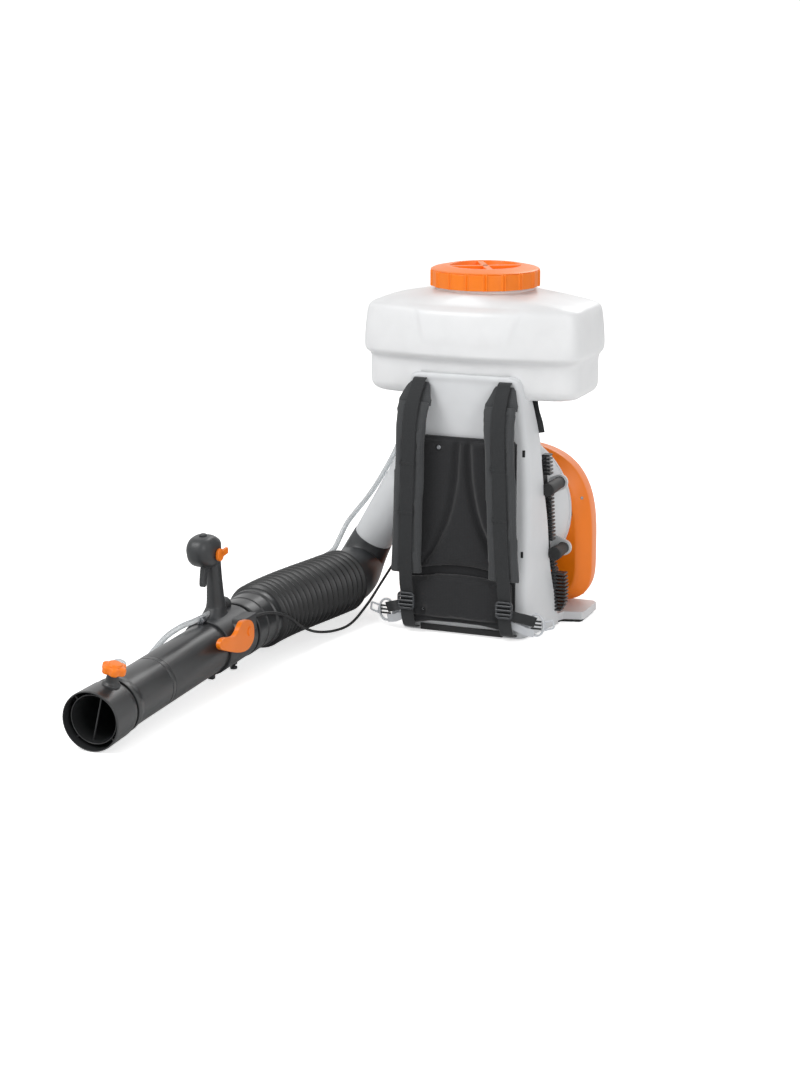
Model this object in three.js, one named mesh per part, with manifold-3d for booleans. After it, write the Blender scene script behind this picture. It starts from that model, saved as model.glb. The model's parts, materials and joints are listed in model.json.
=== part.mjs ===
// Backpack mist blower: a two-stroke engine drives a fan, the fan's air goes through an elbow, a
// bellows and a blow tube, and a metering valve at the nozzle adds liquid from the tank on top.
// Units are millimetres. +Z is up, +X is the wearer's left (the viewer's right when the viewer
// faces the pads), -Y is where the pads, the wearer's back and the blow tube point.
// The origin is on the floor, under the middle of the base.
import * as THREE from "three";
import { mergeVertices } from "three/addons/utils/BufferGeometryUtils.js";
import Module from "manifold-3d";

const wasm = await Module();
wasm.setup();

// ------------------------------------------------------------------ driving dimensions
// Clearances.
const GAP = 0.3; // between pieces that touch
const RUN = 0.5; // between pieces that slide or turn
const AIR = 2; // between pieces that stay apart

// Base: a moulded tray on a rubber mat.
const MAT_THICK = 5;
const MAT_INSET = 5;
const TRAY_THICK = 15;
const TRAY_FRONT_HALF = 108;
const TRAY_MID_HALF = 137;
const FOOT_HALF = 186;
const FOOT_FRONT_Y = 37;
const FOOT_REAR_Y = 128;

// Back plate: a face, two side flanges and the shelf under the tank.
const PLATE_FRONT_Y = -130;
const PLATE_THICK = 5;
const PLATE_BOTTOM_Z = 3;
const PLATE_TOP_Z = 494;
const PLATE_CORNER = 22;
const PLATE_BOTTOM_HALF = 119;
const PLATE_WAIST_HALF = 130;
const PLATE_WAIST_Z = 235;
const PLATE_TOP_HALF = 110;
const FLANGE_THICK = 4;
const SHELF_THICK = 6;
const SHELF_DEPTH = 205;
const GUSSET_DROP = 95;

// Tank: a blow-moulded shell with a narrower lower body and a wide neck.
const TANK_Y = -16.5;
const TANK_FLOOR_Z = 447;
const TANK_WALL = 3;
const TANK_SIDES = 24;
const TANK_HALF_WIDTH = 213;
const TANK_MID_HALF_DEPTH = 129;
const TANK_STEP_Z = 522;
const TANK_STEP_IN = 6;
const TANK_SHOULDER_Z = 622;
const NECK_OUTER_R = 92;
const NECK_WALL = 6;
const NECK_HEIGHT = 25; // above the tank's roof
const TANK_BARREL = 0.27; // how far the ends are drawn in, as a share of the half depth
const OUTLET_INSET = 63; // from the tank's side
const OUTLET_R = 11;

// Filler cap, its seal and the strainer.
const CAP_OUTER_R = 103;
const CAP_SKIRT = 18; // how far the skirt reaches down round the neck
const CAP_SHOULDER = 6; // from the ceiling up to the rim of the crown
const CAP_CROWN = 7;
const CAP_LOBES = 18;
const CAP_LOBE_DEPTH = 3;
const CAP_DISH_R = 66;
const CAP_BAR_WIDTH = 14;
const SEAL_THICK = 3;
const STRAINER_DEPTH = 70;
const STRAINER_WALL = 2;
const STRAINER_WINDOWS = 8;

// Fan, its housing and the engine, all on one axis along Y.
const FAN_Z = 210;
const HOUSING_R = 147;
const HOUSING_FRONT_Y = -25;
const HOUSING_SPLIT_Y = 58;
const HOUSING_WALL = 3;
const HOUSING_SIDES = 28;
const GRILLE_HALF = HOUSING_R - 26;
const GRILLE_FRONT_Y = -66;
const GRILLE_REAR_Y = 4;
const GRILLE_WALL = 3;
const GRILLE_SLOTS = 10;
const SCROLL_GROWTH = 56; // how much further out the scroll's wall is at the outlet
const INLET_R = 70;
const FAN_R = 102;
const FAN_BLADES = 8;
const FAN_DEPTH = 52;
const BUFFER_R = 12;
const EAR_THICK = 6;
const EAR_ROOT_R = HOUSING_R - 29; // where the housing's ears start, inside its shell
// Each buffer's angle round the fan's axis and its place outside the housing's radius.
const BUFFERS = [
  ["right_upper", 24.4, 4],
  ["right_lower", -23.5, 13],
  ["left_upper", 185.6, -2],
  ["left_lower", 215, 27.5],
];
const SHAFT_R = 11;
const CRANK_THROW = 17;
const CRANK_WEB_R = 26;
const CRANK_WEB_THICK = 8;
const CRANK_WEB_GAP = 14; // where the rod's big end runs
const CRANK_PIN_R = 8;
const CASE_R = 46;
const CASE_WALL = 5;
const CASE_LENGTH = 62;
const BORE_R = 24;
const ROD_LENGTH = 52; // centre to centre, of the rod that the open linkage leaves out
const PISTON_HEIGHT = 22;
const PISTON_CROWN = 16;
const HEAD_THICK = 9;
const FIN_HALF_WIDTH = 42;
const FIN_HALF_DEPTH = 27;
const FINS = 5;
const PLUG_R = 7;
const PLUG_LENGTH = 28;

// Engine cover: rounded above, squarer below.
const COVER_HALF = 184;
const COVER_MID_Z = 133;
const COVER_RISE = 200;
const COVER_DROP = 111;
const COVER_REAR_Y = 158;
const COVER_WALL = 3;
const VENTS = 5;
const VENT_WIDTH = 50;
const VENT_HEIGHT = 6;
const VENT_PITCH = 13;
const FILTER_COVER_DEPTH = 30;
const STARTER_R = 50;
const STARTER_DEPTH = 44;
const FUEL_TANK_HALF = 105;
const FUEL_TANK_BOTTOM_Z = 38;
const FUEL_TANK_HEIGHT = 88;
const FUEL_TANK_DEPTH = 42;
const FUEL_WALL = 3;
const FUEL_NECK_R = 20;
const FUEL_NECK_X = 78;

// Duct from the housing, elbow and bellows: points on their centre lines.
const DUCT_R = 39;
const DUCT_WALL = 2.5;
const DUCT_ANGLE_DEG = 137.5; // where the duct leaves the housing
const DUCT_OUT = 29.3; // the middle of the duct's top, outside the housing's radius
const DUCT_Y = 16;
const DUCT_RUN = [-110, 0, -195];
const ELBOW_END_R = 52;
const ELBOW_WALL = 3;
const ELBOW_END = [-259, -95, 72];
const BELLOWS_RIBS = 18;
const BELLOWS_R = 61;
const BELLOWS_ROOT_R = 54;
const BELLOWS_WALL = 2.4;
const BELLOWS_SIDES = 12;

// Blow tube: measured along its own axis, from the front of the nozzle.
const NOZZLE_AT = [-308.7, -996, 51.3];
const TUBE_RISE_DEG = 1.92;
const TUBE_TURN_DEG = 0.77;
const TUBE_R = 45.3;
const TUBE_WALL = 2.4;
const NOZZLE_R = 51;
const NOZZLE_LENGTH = 70;
const NOZZLE_LINER_R = 42;
const NOZZLE_LINER_SETBACK = 12;
const TUBE_SEAM = 209;
const SPIGOT_LENGTH = 36;
const CUFF_START = 516;
const CUFF_END = 603;
const CUFF_R = 51;
const CLAMP_START = 405;
const CLAMP_END = 511;
const CLAMP_R = 49.5;

// Metering valve and its knob, on top of the nozzle.
const METER_AT = 52;
const METER_TILT_DEG = 14; // round the tube, towards the lever's side
const METER_R = 11;
const METER_RISE = 20;
const KNOB_R = 21;
const KNOB_THICK = 14;
const KNOB_LOBES = 6;

// Spray valve in the clamp, with its lever.
const VALVE_AT = 458;
const VALVE_UP = 22;
const VALVE_R = 20;
const VALVE_REACH = 50;
const LEVER_THICK = 9;
// The lever's outline from the valve's axis: along Y, then Z.
const LEVER_OUTLINE = [
  [17, -10],
  [15, 8],
  [4, 19],
  [-14, 24],
  [-27, 25],
  [-38, 19],
  [-48, 11],
  [-64, 8],
  [-92, 15],
  [-108, 15],
  [-114, 8],
  [-108, -1],
  [-82, -12],
  [-54, -23],
  [-27, -30],
  [-5, -30],
  [11, -22],
];
// The hose's straight way through the clamp's foot: X, Y and Z from its rear end to its front end.
const hoseWay = [
  [-9.5, -9.5],
  [480, 408],
  [54.4, 53.4],
];

// Control handle.
const GRIP_AT = 458;
const GRIP_X = -6;
const GRIP_LEAN_DEG = 3;
const GRIP_HEIGHT = 139;
const HEAD_LENGTH = 75;
const HEAD_WIDTH = 48;
const HEAD_HEIGHT = 59;
const HEAD_FORWARD = 32; // of the grip's middle
const TRIGGER_LENGTH = 38;
const TRIGGER_WIDTH = 10;
const BUTTON_R = 7;
const LEVER_SHAFT_R = 6;

// Pads, straps and their hardware.
const PAD_HALF = 110;
const PAD_TOP_Z = 387;
const PAD_BOTTOM_Z = 128;
const PAD_THICK = 17;
const LUMBAR_BOTTOM_Z = 16;
const LUMBAR_HALF = 108;
const LUMBAR_THICK = 20;
const STRAP_WIDTH = 68;
const STRAP_THICK = 13;
const STRAP_STATIONS = 17;
const STRAP_TOP_X = 83;
const STRAP_FOOT_X = 97;
const WEBBING_WIDTH = 25;
const WEBBING_THICK = 2.4;
const WEBBING_FOOT_Z = 9;
const STRAP_SLOT_Z = 484;
const STRAP_SLOT_WIDTH = 29;
const STRAP_SLOT_HEIGHT = 7;
const HOOK_RING = 18;
const BUCKLE_WIDTH = 34;
const BUCKLE_HEIGHT = 30;
const BUCKLE_Z = 66;
const LUMBAR_ARCH = 17;
const HOOK_Z = 34;

// Hoses and the throttle cable.
const HOSE_R = 5;
const OUTLET_BOTTOM_Z = 424;
const CABLE_R = 2.5;
const CABLE_STEPS = 20;
const CABLE_POINTS = [
  [-257.9, -492.5, 102.2],
  [-251.6, -470.1, 102],
  [-245.2, -438, 96],
  [-238.8, -407.7, 85.1],
  [-235, -386, 74],
  [-233, -345, 48],
  [-226, -300, 27],
  [-214, -240, 14],
  [-204, -185, 14],
  [-197, -120, 36],
  [-194, -56, 64],
  [-184, 7, 104],
  [-164, 40, 152],
  [-159.5, 55, 170],
  [-159.5, 65.2, 172],
];
const PRESSURE_X = -128;
const PRESSURE_Y = 30;

// ------------------------------------------------------------------ geometry helpers
const v2 = (x, y) => new THREE.Vector2(x, y);
const v3 = (x, y, z) => new THREE.Vector3(x, y, z);
const rad = THREE.MathUtils.degToRad;
const mix = THREE.MathUtils.lerp;
const count = (n) => Array.from({ length: n }, (_, i) => i);

// Turns a closed geometry's faces outwards.
function outward(geometry) {
  const g = geometry.index ? geometry : mergeVertices(geometry, 1e-4);
  const p = g.attributes.position;
  const index = g.index.array;
  const [a, b, c] = [v3(0, 0, 0), v3(0, 0, 0), v3(0, 0, 0)];
  let volume = 0;
  for (let i = 0; i < index.length; i += 3) {
    a.fromBufferAttribute(p, index[i]);
    b.fromBufferAttribute(p, index[i + 1]);
    c.fromBufferAttribute(p, index[i + 2]);
    volume += a.dot(b.cross(c));
  }
  if (volume < 0)
    for (let i = 0; i < index.length; i += 3) {
      const kept = index[i];
      index[i] = index[i + 1];
      index[i + 1] = kept;
    }
  return g;
}

function solidOf(geometry) {
  const bare = new THREE.BufferGeometry();
  bare.setAttribute("position", geometry.attributes.position.clone());
  if (geometry.index) bare.setIndex(geometry.index.clone());
  const merged = mergeVertices(bare, 1e-4);
  const mesh = new wasm.Mesh({
    numProp: 3,
    vertProperties: new Float32Array(merged.attributes.position.array),
    triVerts: new Uint32Array(merged.index.array),
  });
  return new wasm.Manifold(mesh);
}

function geometryOf(solid) {
  const mesh = solid.getMesh();
  const g = new THREE.BufferGeometry();
  g.setAttribute("position", new THREE.BufferAttribute(mesh.vertProperties, 3));
  g.setIndex(new THREE.BufferAttribute(mesh.triVerts, 1));
  return g;
}

const fold = (list, action) => geometryOf(list.map(solidOf).reduce(action));
const join = (...list) => fold(list, (a, b) => a.add(b));
const cut = (...list) => fold(list, (a, b) => a.subtract(b));

// Closes a surface through rings of points: capped at both ends, or looped from last to first.
function skin(rings, looped = false) {
  const sides = rings[0].length;
  const points = rings.flat();
  const index = [];
  const bands = looped ? rings.length : rings.length - 1;
  for (let r = 0; r < bands; r++)
    for (let s = 0; s < sides; s++) {
      const here = r * sides;
      const next = ((r + 1) % rings.length) * sides;
      const t = (s + 1) % sides;
      index.push(here + s, here + t, next + t, here + s, next + t, next + s);
    }
  if (!looped)
    for (const r of [0, rings.length - 1]) {
      const middle = v3(0, 0, 0);
      rings[r].forEach((p) => middle.addScaledVector(p, 1 / sides));
      const at = points.push(middle) - 1;
      for (let s = 0; s < sides; s++) {
        const pair = [r * sides + s, r * sides + ((s + 1) % sides)];
        if (r === 0) pair.reverse();
        index.push(at, ...pair);
      }
    }
  const g = new THREE.BufferGeometry().setFromPoints(points);
  g.setIndex(index);
  return outward(g);
}

// A ring of points from a function of the angle.
const ring = (sides, at) => count(sides).map((i) => at((2 * Math.PI * i) / sides));

// A round pipe along a curve: hollow and open at both ends where an inner radius is given.
function pipe(curve, steps, sides, outer, inner = null) {
  const { normals, binormals } = curve.computeFrenetFrames(steps, false);
  const around = (radius) =>
    count(steps + 1).map((i) =>
      ring(sides, (angle) =>
        curve
          .getPointAt(i / steps)
          .addScaledVector(normals[i], Math.cos(angle) * radius(i / steps))
          .addScaledVector(binormals[i], Math.sin(angle) * radius(i / steps)),
      ),
    );
  return inner ? skin([...around(outer), ...around(inner).reverse()], true) : skin(around(outer));
}

const line = (from, to) => new THREE.LineCurve3(v3(...from), v3(...to));
const bar = (from, to, radius, sides = 16) => pipe(line(from, to), 1, sides, () => radius);
const path = (points) => new THREE.CatmullRomCurve3(points.map((p) => v3(...p)), false, "centripetal");

// A cord or hose: a section of eight sides extruded along a curve.
function cord(curve, radius, steps) {
  const section = new THREE.Shape(ring(8, (a) => v2(radius * Math.cos(a), radius * Math.sin(a))));
  const settings = { steps, bevelEnabled: false, extrudePath: curve };
  return outward(mergeVertices(bareOf(new THREE.ExtrudeGeometry(section, settings)), 1e-4));
}

function bareOf(geometry) {
  const g = new THREE.BufferGeometry();
  g.setAttribute("position", geometry.attributes.position);
  if (geometry.index) g.setIndex(geometry.index);
  return g;
}

const box = (size, at) => new THREE.BoxGeometry(...size).translate(...at);

// Turned round the Y axis, from [radius, y] points.
function turned(profile, sides) {
  const points = profile.map(([r, h]) => v2(r, h));
  return outward(mergeVertices(bareOf(new THREE.LatheGeometry(points, sides)), 1e-4));
}

const closed = (profile) => [...profile, profile[0]];
// The same, stood up round the Z axis.
const upright = (profile, sides) => turned(profile, sides).rotateX(Math.PI / 2);

// A flat plate from a plan in X and Y, between two heights.
function slab(plan, low, high) {
  const shape = plan instanceof THREE.Shape ? plan : new THREE.Shape(plan.map(([x, y]) => v2(x, y)));
  const settings = { depth: high - low, bevelEnabled: false, curveSegments: 5 };
  const made = new THREE.ExtrudeGeometry(shape, settings);
  return outward(mergeVertices(bareOf(made), 1e-4)).translate(0, 0, low);
}

// A flat plate from an outline in X and Z, between two places along Y.
const wall = (outline, front, rear) =>
  slab(outline, 0, rear - front).rotateX(Math.PI / 2).translate(0, rear, 0);
// A flat plate from an outline in Y and Z, between two places along X.
const web = (outline, left, right) =>
  slab(outline, 0, right - left).rotateX(Math.PI / 2).rotateZ(Math.PI / 2).translate(left, 0, 0);

const mirrored = (half) => [...half, ...half.map(([x, y]) => [-x, y]).reverse()];

// A superellipse: exponent 2 is round, larger is squarer.
function superellipse(angle, halfX, halfY, exponent) {
  const c = Math.cos(angle);
  const s = Math.sin(angle);
  const size = (w) => Math.sign(w) * Math.abs(w) ** (2 / exponent);
  return [halfX * size(c), halfY * size(s)];
}

// ------------------------------------------------------------------ materials
const finish = (color, roughness, metalness = 0, extra = {}) =>
  new THREE.MeshStandardMaterial({ color, roughness, metalness, ...extra });
const greyPolymer = finish(0xd4d6d8, 0.5);
const blackPolymer = finish(0x2b2c2e, 0.45);
const orangePolymer = finish(0xf57a14, 0.35);
const clearPolymer = finish(0xf0f1f2, 0.4, 0, { transparent: true, opacity: 0.85 });
const hosePolymer = finish(0xd9dde0, 0.25, 0, { transparent: true, opacity: 0.6 });
const rubber = finish(0x1c1c1d, 0.85);
const castAlloy = finish(0xb9bcbf, 0.4, 0.8);
const steel = finish(0x9a9da1, 0.35, 0.9);
const padCloth = finish(0x1f2124, 0.95);
const strapCloth = finish(0x3f4143, 0.95);
const paper = finish(0xd8cfb4, 0.9);
const buckleGrey = finish(0x8f9193, 0.45);
const hookGrey = finish(0xe3e3e1, 0.4);
const ceramic = finish(0xf2efe8, 0.3);

const group = new THREE.Group();
function add(name, geometry, material, parent = group) {
  const mesh = new THREE.Mesh(geometry, material);
  mesh.name = name;
  parent.add(mesh);
}

// ------------------------------------------------------------------ base
const trayBottom = MAT_THICK + GAP;
const trayTop = trayBottom + TRAY_THICK;
const plateBack = PLATE_FRONT_Y + PLATE_THICK;
const trayFront = plateBack + GAP;

const trayHalf = [
  [TRAY_FRONT_HALF, trayFront],
  [TRAY_MID_HALF, -4],
  [TRAY_MID_HALF + 12, FOOT_FRONT_Y - 9],
  [FOOT_HALF - 4, FOOT_FRONT_Y],
  [FOOT_HALF, FOOT_FRONT_Y + 6],
  [FOOT_HALF, FOOT_REAR_Y - 10],
  [FOOT_HALF - 9, FOOT_REAR_Y],
];
const matHalf = trayHalf.map(([x, y]) => [
  x - MAT_INSET,
  THREE.MathUtils.clamp(y, trayFront + MAT_INSET, FOOT_REAR_Y - MAT_INSET),
]);
add("base_tray", slab(mirrored(trayHalf), trayBottom, trayTop), greyPolymer);
add("rubber_mat", slab(mirrored(matHalf), 0, MAT_THICK), rubber);

// ------------------------------------------------------------------ back plate
const shelfTop = TANK_FLOOR_Z - GAP;
const shelfBottom = shelfTop - SHELF_THICK;

// The plate's side edge, from the floor up.
const side = [
  v2(PLATE_BOTTOM_HALF, PLATE_BOTTOM_Z),
  v2(mix(PLATE_BOTTOM_HALF, PLATE_WAIST_HALF, 0.6), mix(PLATE_BOTTOM_Z, PLATE_WAIST_Z, 0.45)),
  v2(PLATE_WAIST_HALF, PLATE_WAIST_Z),
  v2(mix(PLATE_WAIST_HALF, PLATE_TOP_HALF, 0.3), mix(PLATE_WAIST_Z, PLATE_TOP_Z, 0.6)),
  v2(PLATE_TOP_HALF, PLATE_TOP_Z - PLATE_CORNER),
];
// Each flange leans outwards and grows deeper towards the floor: share of the height, how far
// its rear edge stands outside its front edge, and its depth.
const flangeShape = [
  [0, 29, 130],
  [0.09, 24, 123],
  [0.17, 16, 114],
  [0.27, 9, 108],
  [0.42, 4, 100],
  [0.57, 1, 84],
  [0.69, 1, 75],
  [0.76, 1, 72],
  [0.9, 1, 54],
];
// The place on a table of rising numbers: the row below, and the share of the way to the next row.
function between(values, value) {
  const above = values.findIndex((v) => v > value);
  return [above - 1, (value - values[above - 1]) / (values[above] - values[above - 1])];
}
function plateEdgeX(z) {
  const [i, share] = between(side.map((p) => p.y), z);
  return mix(side[i].x, side[i + 1].x, share);
}
function flangeRear(z) {
  const height = (z - PLATE_BOTTOM_Z) / (PLATE_TOP_Z - PLATE_BOTTOM_Z);
  const [i, share] = between(flangeShape.map((row) => row[0]), height);
  const [, flare, depth] = flangeShape[i].map((v, k) => mix(v, flangeShape[i + 1][k], share));
  return [plateEdgeX(z) + flare, PLATE_FRONT_Y + depth];
}

// Rubber buffers carry the fan housing: each sits between an ear on a flange and an ear on the
// housing. The left ones sit lower than the right ones, clear of the duct.
const buffers = BUFFERS.map(([name, degrees, out]) => {
  const radius = HOUSING_R + out;
  return [name, radius * Math.cos(rad(degrees)), FAN_Z + radius * Math.sin(rad(degrees))];
});
const earHalf = BUFFER_R + 3;
const earRear = (z) => flangeRear(z - BUFFER_R)[1];

function makePlate() {
  const outline = new THREE.Shape();
  outline.moveTo(-side[0].x, side[0].y);
  side.forEach((p) => outline.lineTo(p.x, p.y));
  outline.quadraticCurveTo(PLATE_TOP_HALF, PLATE_TOP_Z, PLATE_TOP_HALF - PLATE_CORNER, PLATE_TOP_Z);
  outline.lineTo(PLATE_CORNER - PLATE_TOP_HALF, PLATE_TOP_Z);
  outline.quadraticCurveTo(-PLATE_TOP_HALF, PLATE_TOP_Z, -PLATE_TOP_HALF, PLATE_TOP_Z - PLATE_CORNER);
  [...side].reverse().slice(1, -1).forEach((p) => outline.lineTo(-p.x, p.y));
  const face = wall(outline, PLATE_FRONT_Y, plateBack);

  const flange = skin(
    flangeShape.map(([share, flare, depth]) => {
      const z = mix(PLATE_BOTTOM_Z, PLATE_TOP_Z, share);
      const x = plateEdgeX(z + 0.01);
      const rear = PLATE_FRONT_Y + depth;
      return [
        v3(x, PLATE_FRONT_Y, z),
        v3(x + flare, rear, z),
        v3(x + flare - FLANGE_THICK, rear, z),
        v3(x - FLANGE_THICK, PLATE_FRONT_Y, z),
      ];
    }),
  );
  const otherFlange = outward(flange.clone().scale(-1, 1, 1));

  const shelfHalf = PLATE_TOP_HALF - 1;
  const shelfFront = PLATE_FRONT_Y + 1;
  const shelfPlan = mirrored([
    [shelfHalf, shelfFront],
    [shelfHalf, shelfFront + SHELF_DEPTH - 30],
    [shelfHalf - 30, shelfFront + SHELF_DEPTH],
  ]);
  const shelf = slab(shelfPlan, shelfBottom, shelfTop);
  const gussetShape = [
    [shelfFront, shelfBottom + 1],
    [shelfFront + SHELF_DEPTH - 40, shelfBottom + 1],
    [shelfFront, shelfBottom - GUSSET_DROP],
  ];
  const gussetX = shelfHalf - 26;
  const gussets = [gussetX, -gussetX - FLANGE_THICK].map((x) => web(gussetShape, x, x + FLANGE_THICK));
  const ears = buffers.map(([, x, z]) => {
    const inner = flangeRear(z)[0] - FLANGE_THICK;
    const outer = Math.abs(x) + earHalf;
    const middle = Math.sign(x) * mix(inner, outer, 0.5);
    return box([outer - inner, EAR_THICK, 2 * earHalf], [middle, earRear(z) - EAR_THICK / 2, z]);
  });
  const slots = [STRAP_SLOT_Z, WEBBING_FOOT_Z].flatMap((z, i) =>
    [-1, 1].map((way) =>
      box([STRAP_SLOT_WIDTH, 4 * PLATE_THICK, STRAP_SLOT_HEIGHT], [
        way * (i ? STRAP_FOOT_X : STRAP_TOP_X),
        PLATE_FRONT_Y,
        z,
      ]),
    ),
  );
  return cut(join(face, flange, otherFlange, shelf, ...gussets, ...ears), ...slots);
}
add("back_plate", makePlate(), greyPolymer);

// ------------------------------------------------------------------ tank, cap and strainer
// Levels of the tank's outer form: height, half width, half depth in the middle, exponent.
const lowerHalf = TANK_HALF_WIDTH - TANK_STEP_IN;
const lowerDepth = -PLATE_FRONT_Y - PLATE_THICK - GAP - AIR + TANK_Y;
const tankLevels = [
  [TANK_FLOOR_Z, lowerHalf - 22, lowerDepth - 18, 5],
  [TANK_FLOOR_Z + 7, lowerHalf - 6, lowerDepth - 5, 5],
  [TANK_FLOOR_Z + 20, lowerHalf, lowerDepth, 5],
  [TANK_STEP_Z - 6, lowerHalf, lowerDepth, 5],
  [TANK_STEP_Z, TANK_HALF_WIDTH - 5, TANK_MID_HALF_DEPTH - 5, 5],
  [TANK_STEP_Z + 10, TANK_HALF_WIDTH, TANK_MID_HALF_DEPTH, 5],
  [mix(TANK_STEP_Z, TANK_SHOULDER_Z, 0.6), TANK_HALF_WIDTH - 2, TANK_MID_HALF_DEPTH - 4, 4.6],
  [TANK_SHOULDER_Z - 8, TANK_HALF_WIDTH - 10, TANK_MID_HALF_DEPTH - 12, 4.2],
  [TANK_SHOULDER_Z + 2, TANK_HALF_WIDTH - 26, TANK_MID_HALF_DEPTH - 22, 3.6],
  [TANK_SHOULDER_Z + 13, CAP_OUTER_R + 12, CAP_OUTER_R, 2.2],
];
const tankRoof = TANK_SHOULDER_Z + 17;
const neckTop = tankRoof + NECK_HEIGHT;
const outletX = OUTLET_INSET - TANK_HALF_WIDTH;

function tankRing(z, halfX, halfY, exponent, inset) {
  const width = (halfX - CAP_OUTER_R) / (TANK_HALF_WIDTH - CAP_OUTER_R);
  const drawIn = TANK_BARREL * THREE.MathUtils.clamp(width, 0, 1);
  return ring(TANK_SIDES, (angle) => {
    const [x, y] = superellipse(angle, halfX - inset, halfY - inset, exponent);
    return v3(x, TANK_Y + y * (1 - drawIn * (x / halfX) ** 2), z);
  });
}
const neckRing = (z, radius) =>
  ring(TANK_SIDES, (angle) => v3(radius * Math.cos(angle), TANK_Y + radius * Math.sin(angle), z));

function makeTank() {
  const outside = tankLevels.map((level) => tankRing(...level, 0));
  outside.push(neckRing(tankRoof, NECK_OUTER_R), neckRing(neckTop, NECK_OUTER_R));
  const inside = tankLevels.map(([z, ...rest], i) => tankRing(i ? z : z + TANK_WALL, ...rest, TANK_WALL));
  inside[0] = tankRing(TANK_FLOOR_Z + TANK_WALL, ...tankLevels[0].slice(1), TANK_WALL + 2);
  const last = inside.length - 1;
  inside[last].forEach((p) => p.setZ(tankLevels[last][0] - TANK_WALL));
  const innerR = NECK_OUTER_R - NECK_WALL;
  inside.push(neckRing(tankRoof - TANK_WALL, innerR), neckRing(neckTop + 1, innerR));
  const outletAt = (z) => [outletX, TANK_Y, z];
  const outlet = bar(outletAt(TANK_FLOOR_Z - 1), outletAt(TANK_FLOOR_Z + 5), OUTLET_R, 16);
  return cut(skin(outside), skin(inside), outlet);
}
add("tank", makeTank(), clearPolymer);

// The strainer hangs in the neck by its rim, under the seal.
const rimTop = neckTop + GAP + STRAINER_WALL;
function makeStrainer() {
  const outer = NECK_OUTER_R - NECK_WALL - 1;
  const inner = outer - STRAINER_WALL;
  const bottom = neckTop - STRAINER_DEPTH;
  const cup = upright(
    [
      [0, bottom],
      [outer, bottom],
      [outer, neckTop + GAP],
      [NECK_OUTER_R - 1, neckTop + GAP],
      [NECK_OUTER_R - 1, rimTop],
      [inner, rimTop],
      [inner, bottom + STRAINER_WALL],
      [0, bottom + STRAINER_WALL],
    ],
    24,
  );
  const windows = count(STRAINER_WINDOWS).map((i) =>
    box([2 * outer, (2 * outer) / STRAINER_WINDOWS, STRAINER_DEPTH * 0.4], [outer, 0, 0])
      .rotateZ((2 * Math.PI * i) / STRAINER_WINDOWS)
      .translate(0, 0, neckTop - STRAINER_DEPTH * 0.62),
  );
  return cut(cup, ...windows).translate(0, TANK_Y, 0);
}
add("tank_strainer", makeStrainer(), blackPolymer);

const sealBottom = rimTop + GAP;
const sealTop = sealBottom + SEAL_THICK;
const capCeiling = sealTop + GAP;
const capBottom = neckTop - CAP_SKIRT;
const capRim = capCeiling + CAP_SHOULDER;
const capTop = capRim + CAP_CROWN;
function makeSeal() {
  const profile = closed([
    [NECK_OUTER_R - NECK_WALL, sealBottom],
    [NECK_OUTER_R, sealBottom],
    [NECK_OUTER_R, sealTop],
    [NECK_OUTER_R - NECK_WALL, sealTop],
  ]);
  return upright(profile, 24).translate(0, TANK_Y, 0);
}

function makeCap() {
  const bore = NECK_OUTER_R + 1.5;
  const lobed = (angle) => {
    const wave = Math.cos(angle * CAP_LOBES);
    const radius = CAP_OUTER_R - CAP_LOBE_DEPTH * (wave < 0 ? 1 : 0);
    return v2(radius * Math.cos(angle), radius * Math.sin(angle));
  };
  const skirt = slab(new THREE.Shape(ring(CAP_LOBES * 4, (a) => lobed(a + 0.01))), capBottom, capRim);
  const bowl = upright(
    [
      [0, capCeiling + 3],
      [CAP_DISH_R, capCeiling + 3],
      [CAP_DISH_R, capTop],
      [CAP_DISH_R + 6, capTop],
      [CAP_OUTER_R - CAP_LOBE_DEPTH - 1, capRim],
      [CAP_OUTER_R - CAP_LOBE_DEPTH - 1, capCeiling],
      [0, capCeiling],
    ],
    24,
  );
  const hollowProfile = [
    [0, capBottom - 1],
    [bore, capBottom - 1],
    [bore, capCeiling],
    [0, capCeiling],
  ];
  const hollow = upright(hollowProfile, 24);
  const dish = upright(
    [[0, capCeiling + 3], [CAP_DISH_R, capCeiling + 3], [CAP_DISH_R, capTop + 1], [0, capTop + 1]],
    24,
  );
  const barLength = 2 * CAP_DISH_R + 6;
  const barHeight = capTop - 1 - capCeiling;
  const barMiddle = mix(capCeiling + 1, capTop - 1, 0.5);
  const bars = [0, 1].map((i) =>
    box([barLength, CAP_BAR_WIDTH, barHeight - 1], [0, 0, barMiddle]).rotateZ((i * Math.PI) / 2),
  );
  const lid = cut(join(skirt, bowl), dish);
  return cut(join(lid, ...bars), hollow).translate(0, TANK_Y, 0);
}
add("cap_seal", makeSeal(), rubber);
add("tank_cap", makeCap(), orangePolymer);

// ------------------------------------------------------------------ fan housing
const housingRearWall = HOUSING_SPLIT_Y + GAP;
const scrollEnd = rad(150);
// The scroll's wall: nearly round on the right, growing fast towards the outlet at the upper left.
function scrollRadius(angle) {
  const turn = (angle - scrollEnd + 4 * Math.PI) % (2 * Math.PI);
  const share = turn / (2 * Math.PI);
  const early = HOUSING_R - 14 * Math.max(0, 1 - share / 0.5);
  return early + SCROLL_GROWTH * Math.max(0, (share - 0.62) / 0.38) ** 2;
}
const housingRing = (y, radiusAt) =>
  ring(HOUSING_SIDES, (step) => {
    const angle = step + scrollEnd;
    const radius = radiusAt(angle);
    return v3(radius * Math.cos(angle), y, FAN_Z + radius * Math.sin(angle));
  });

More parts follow.
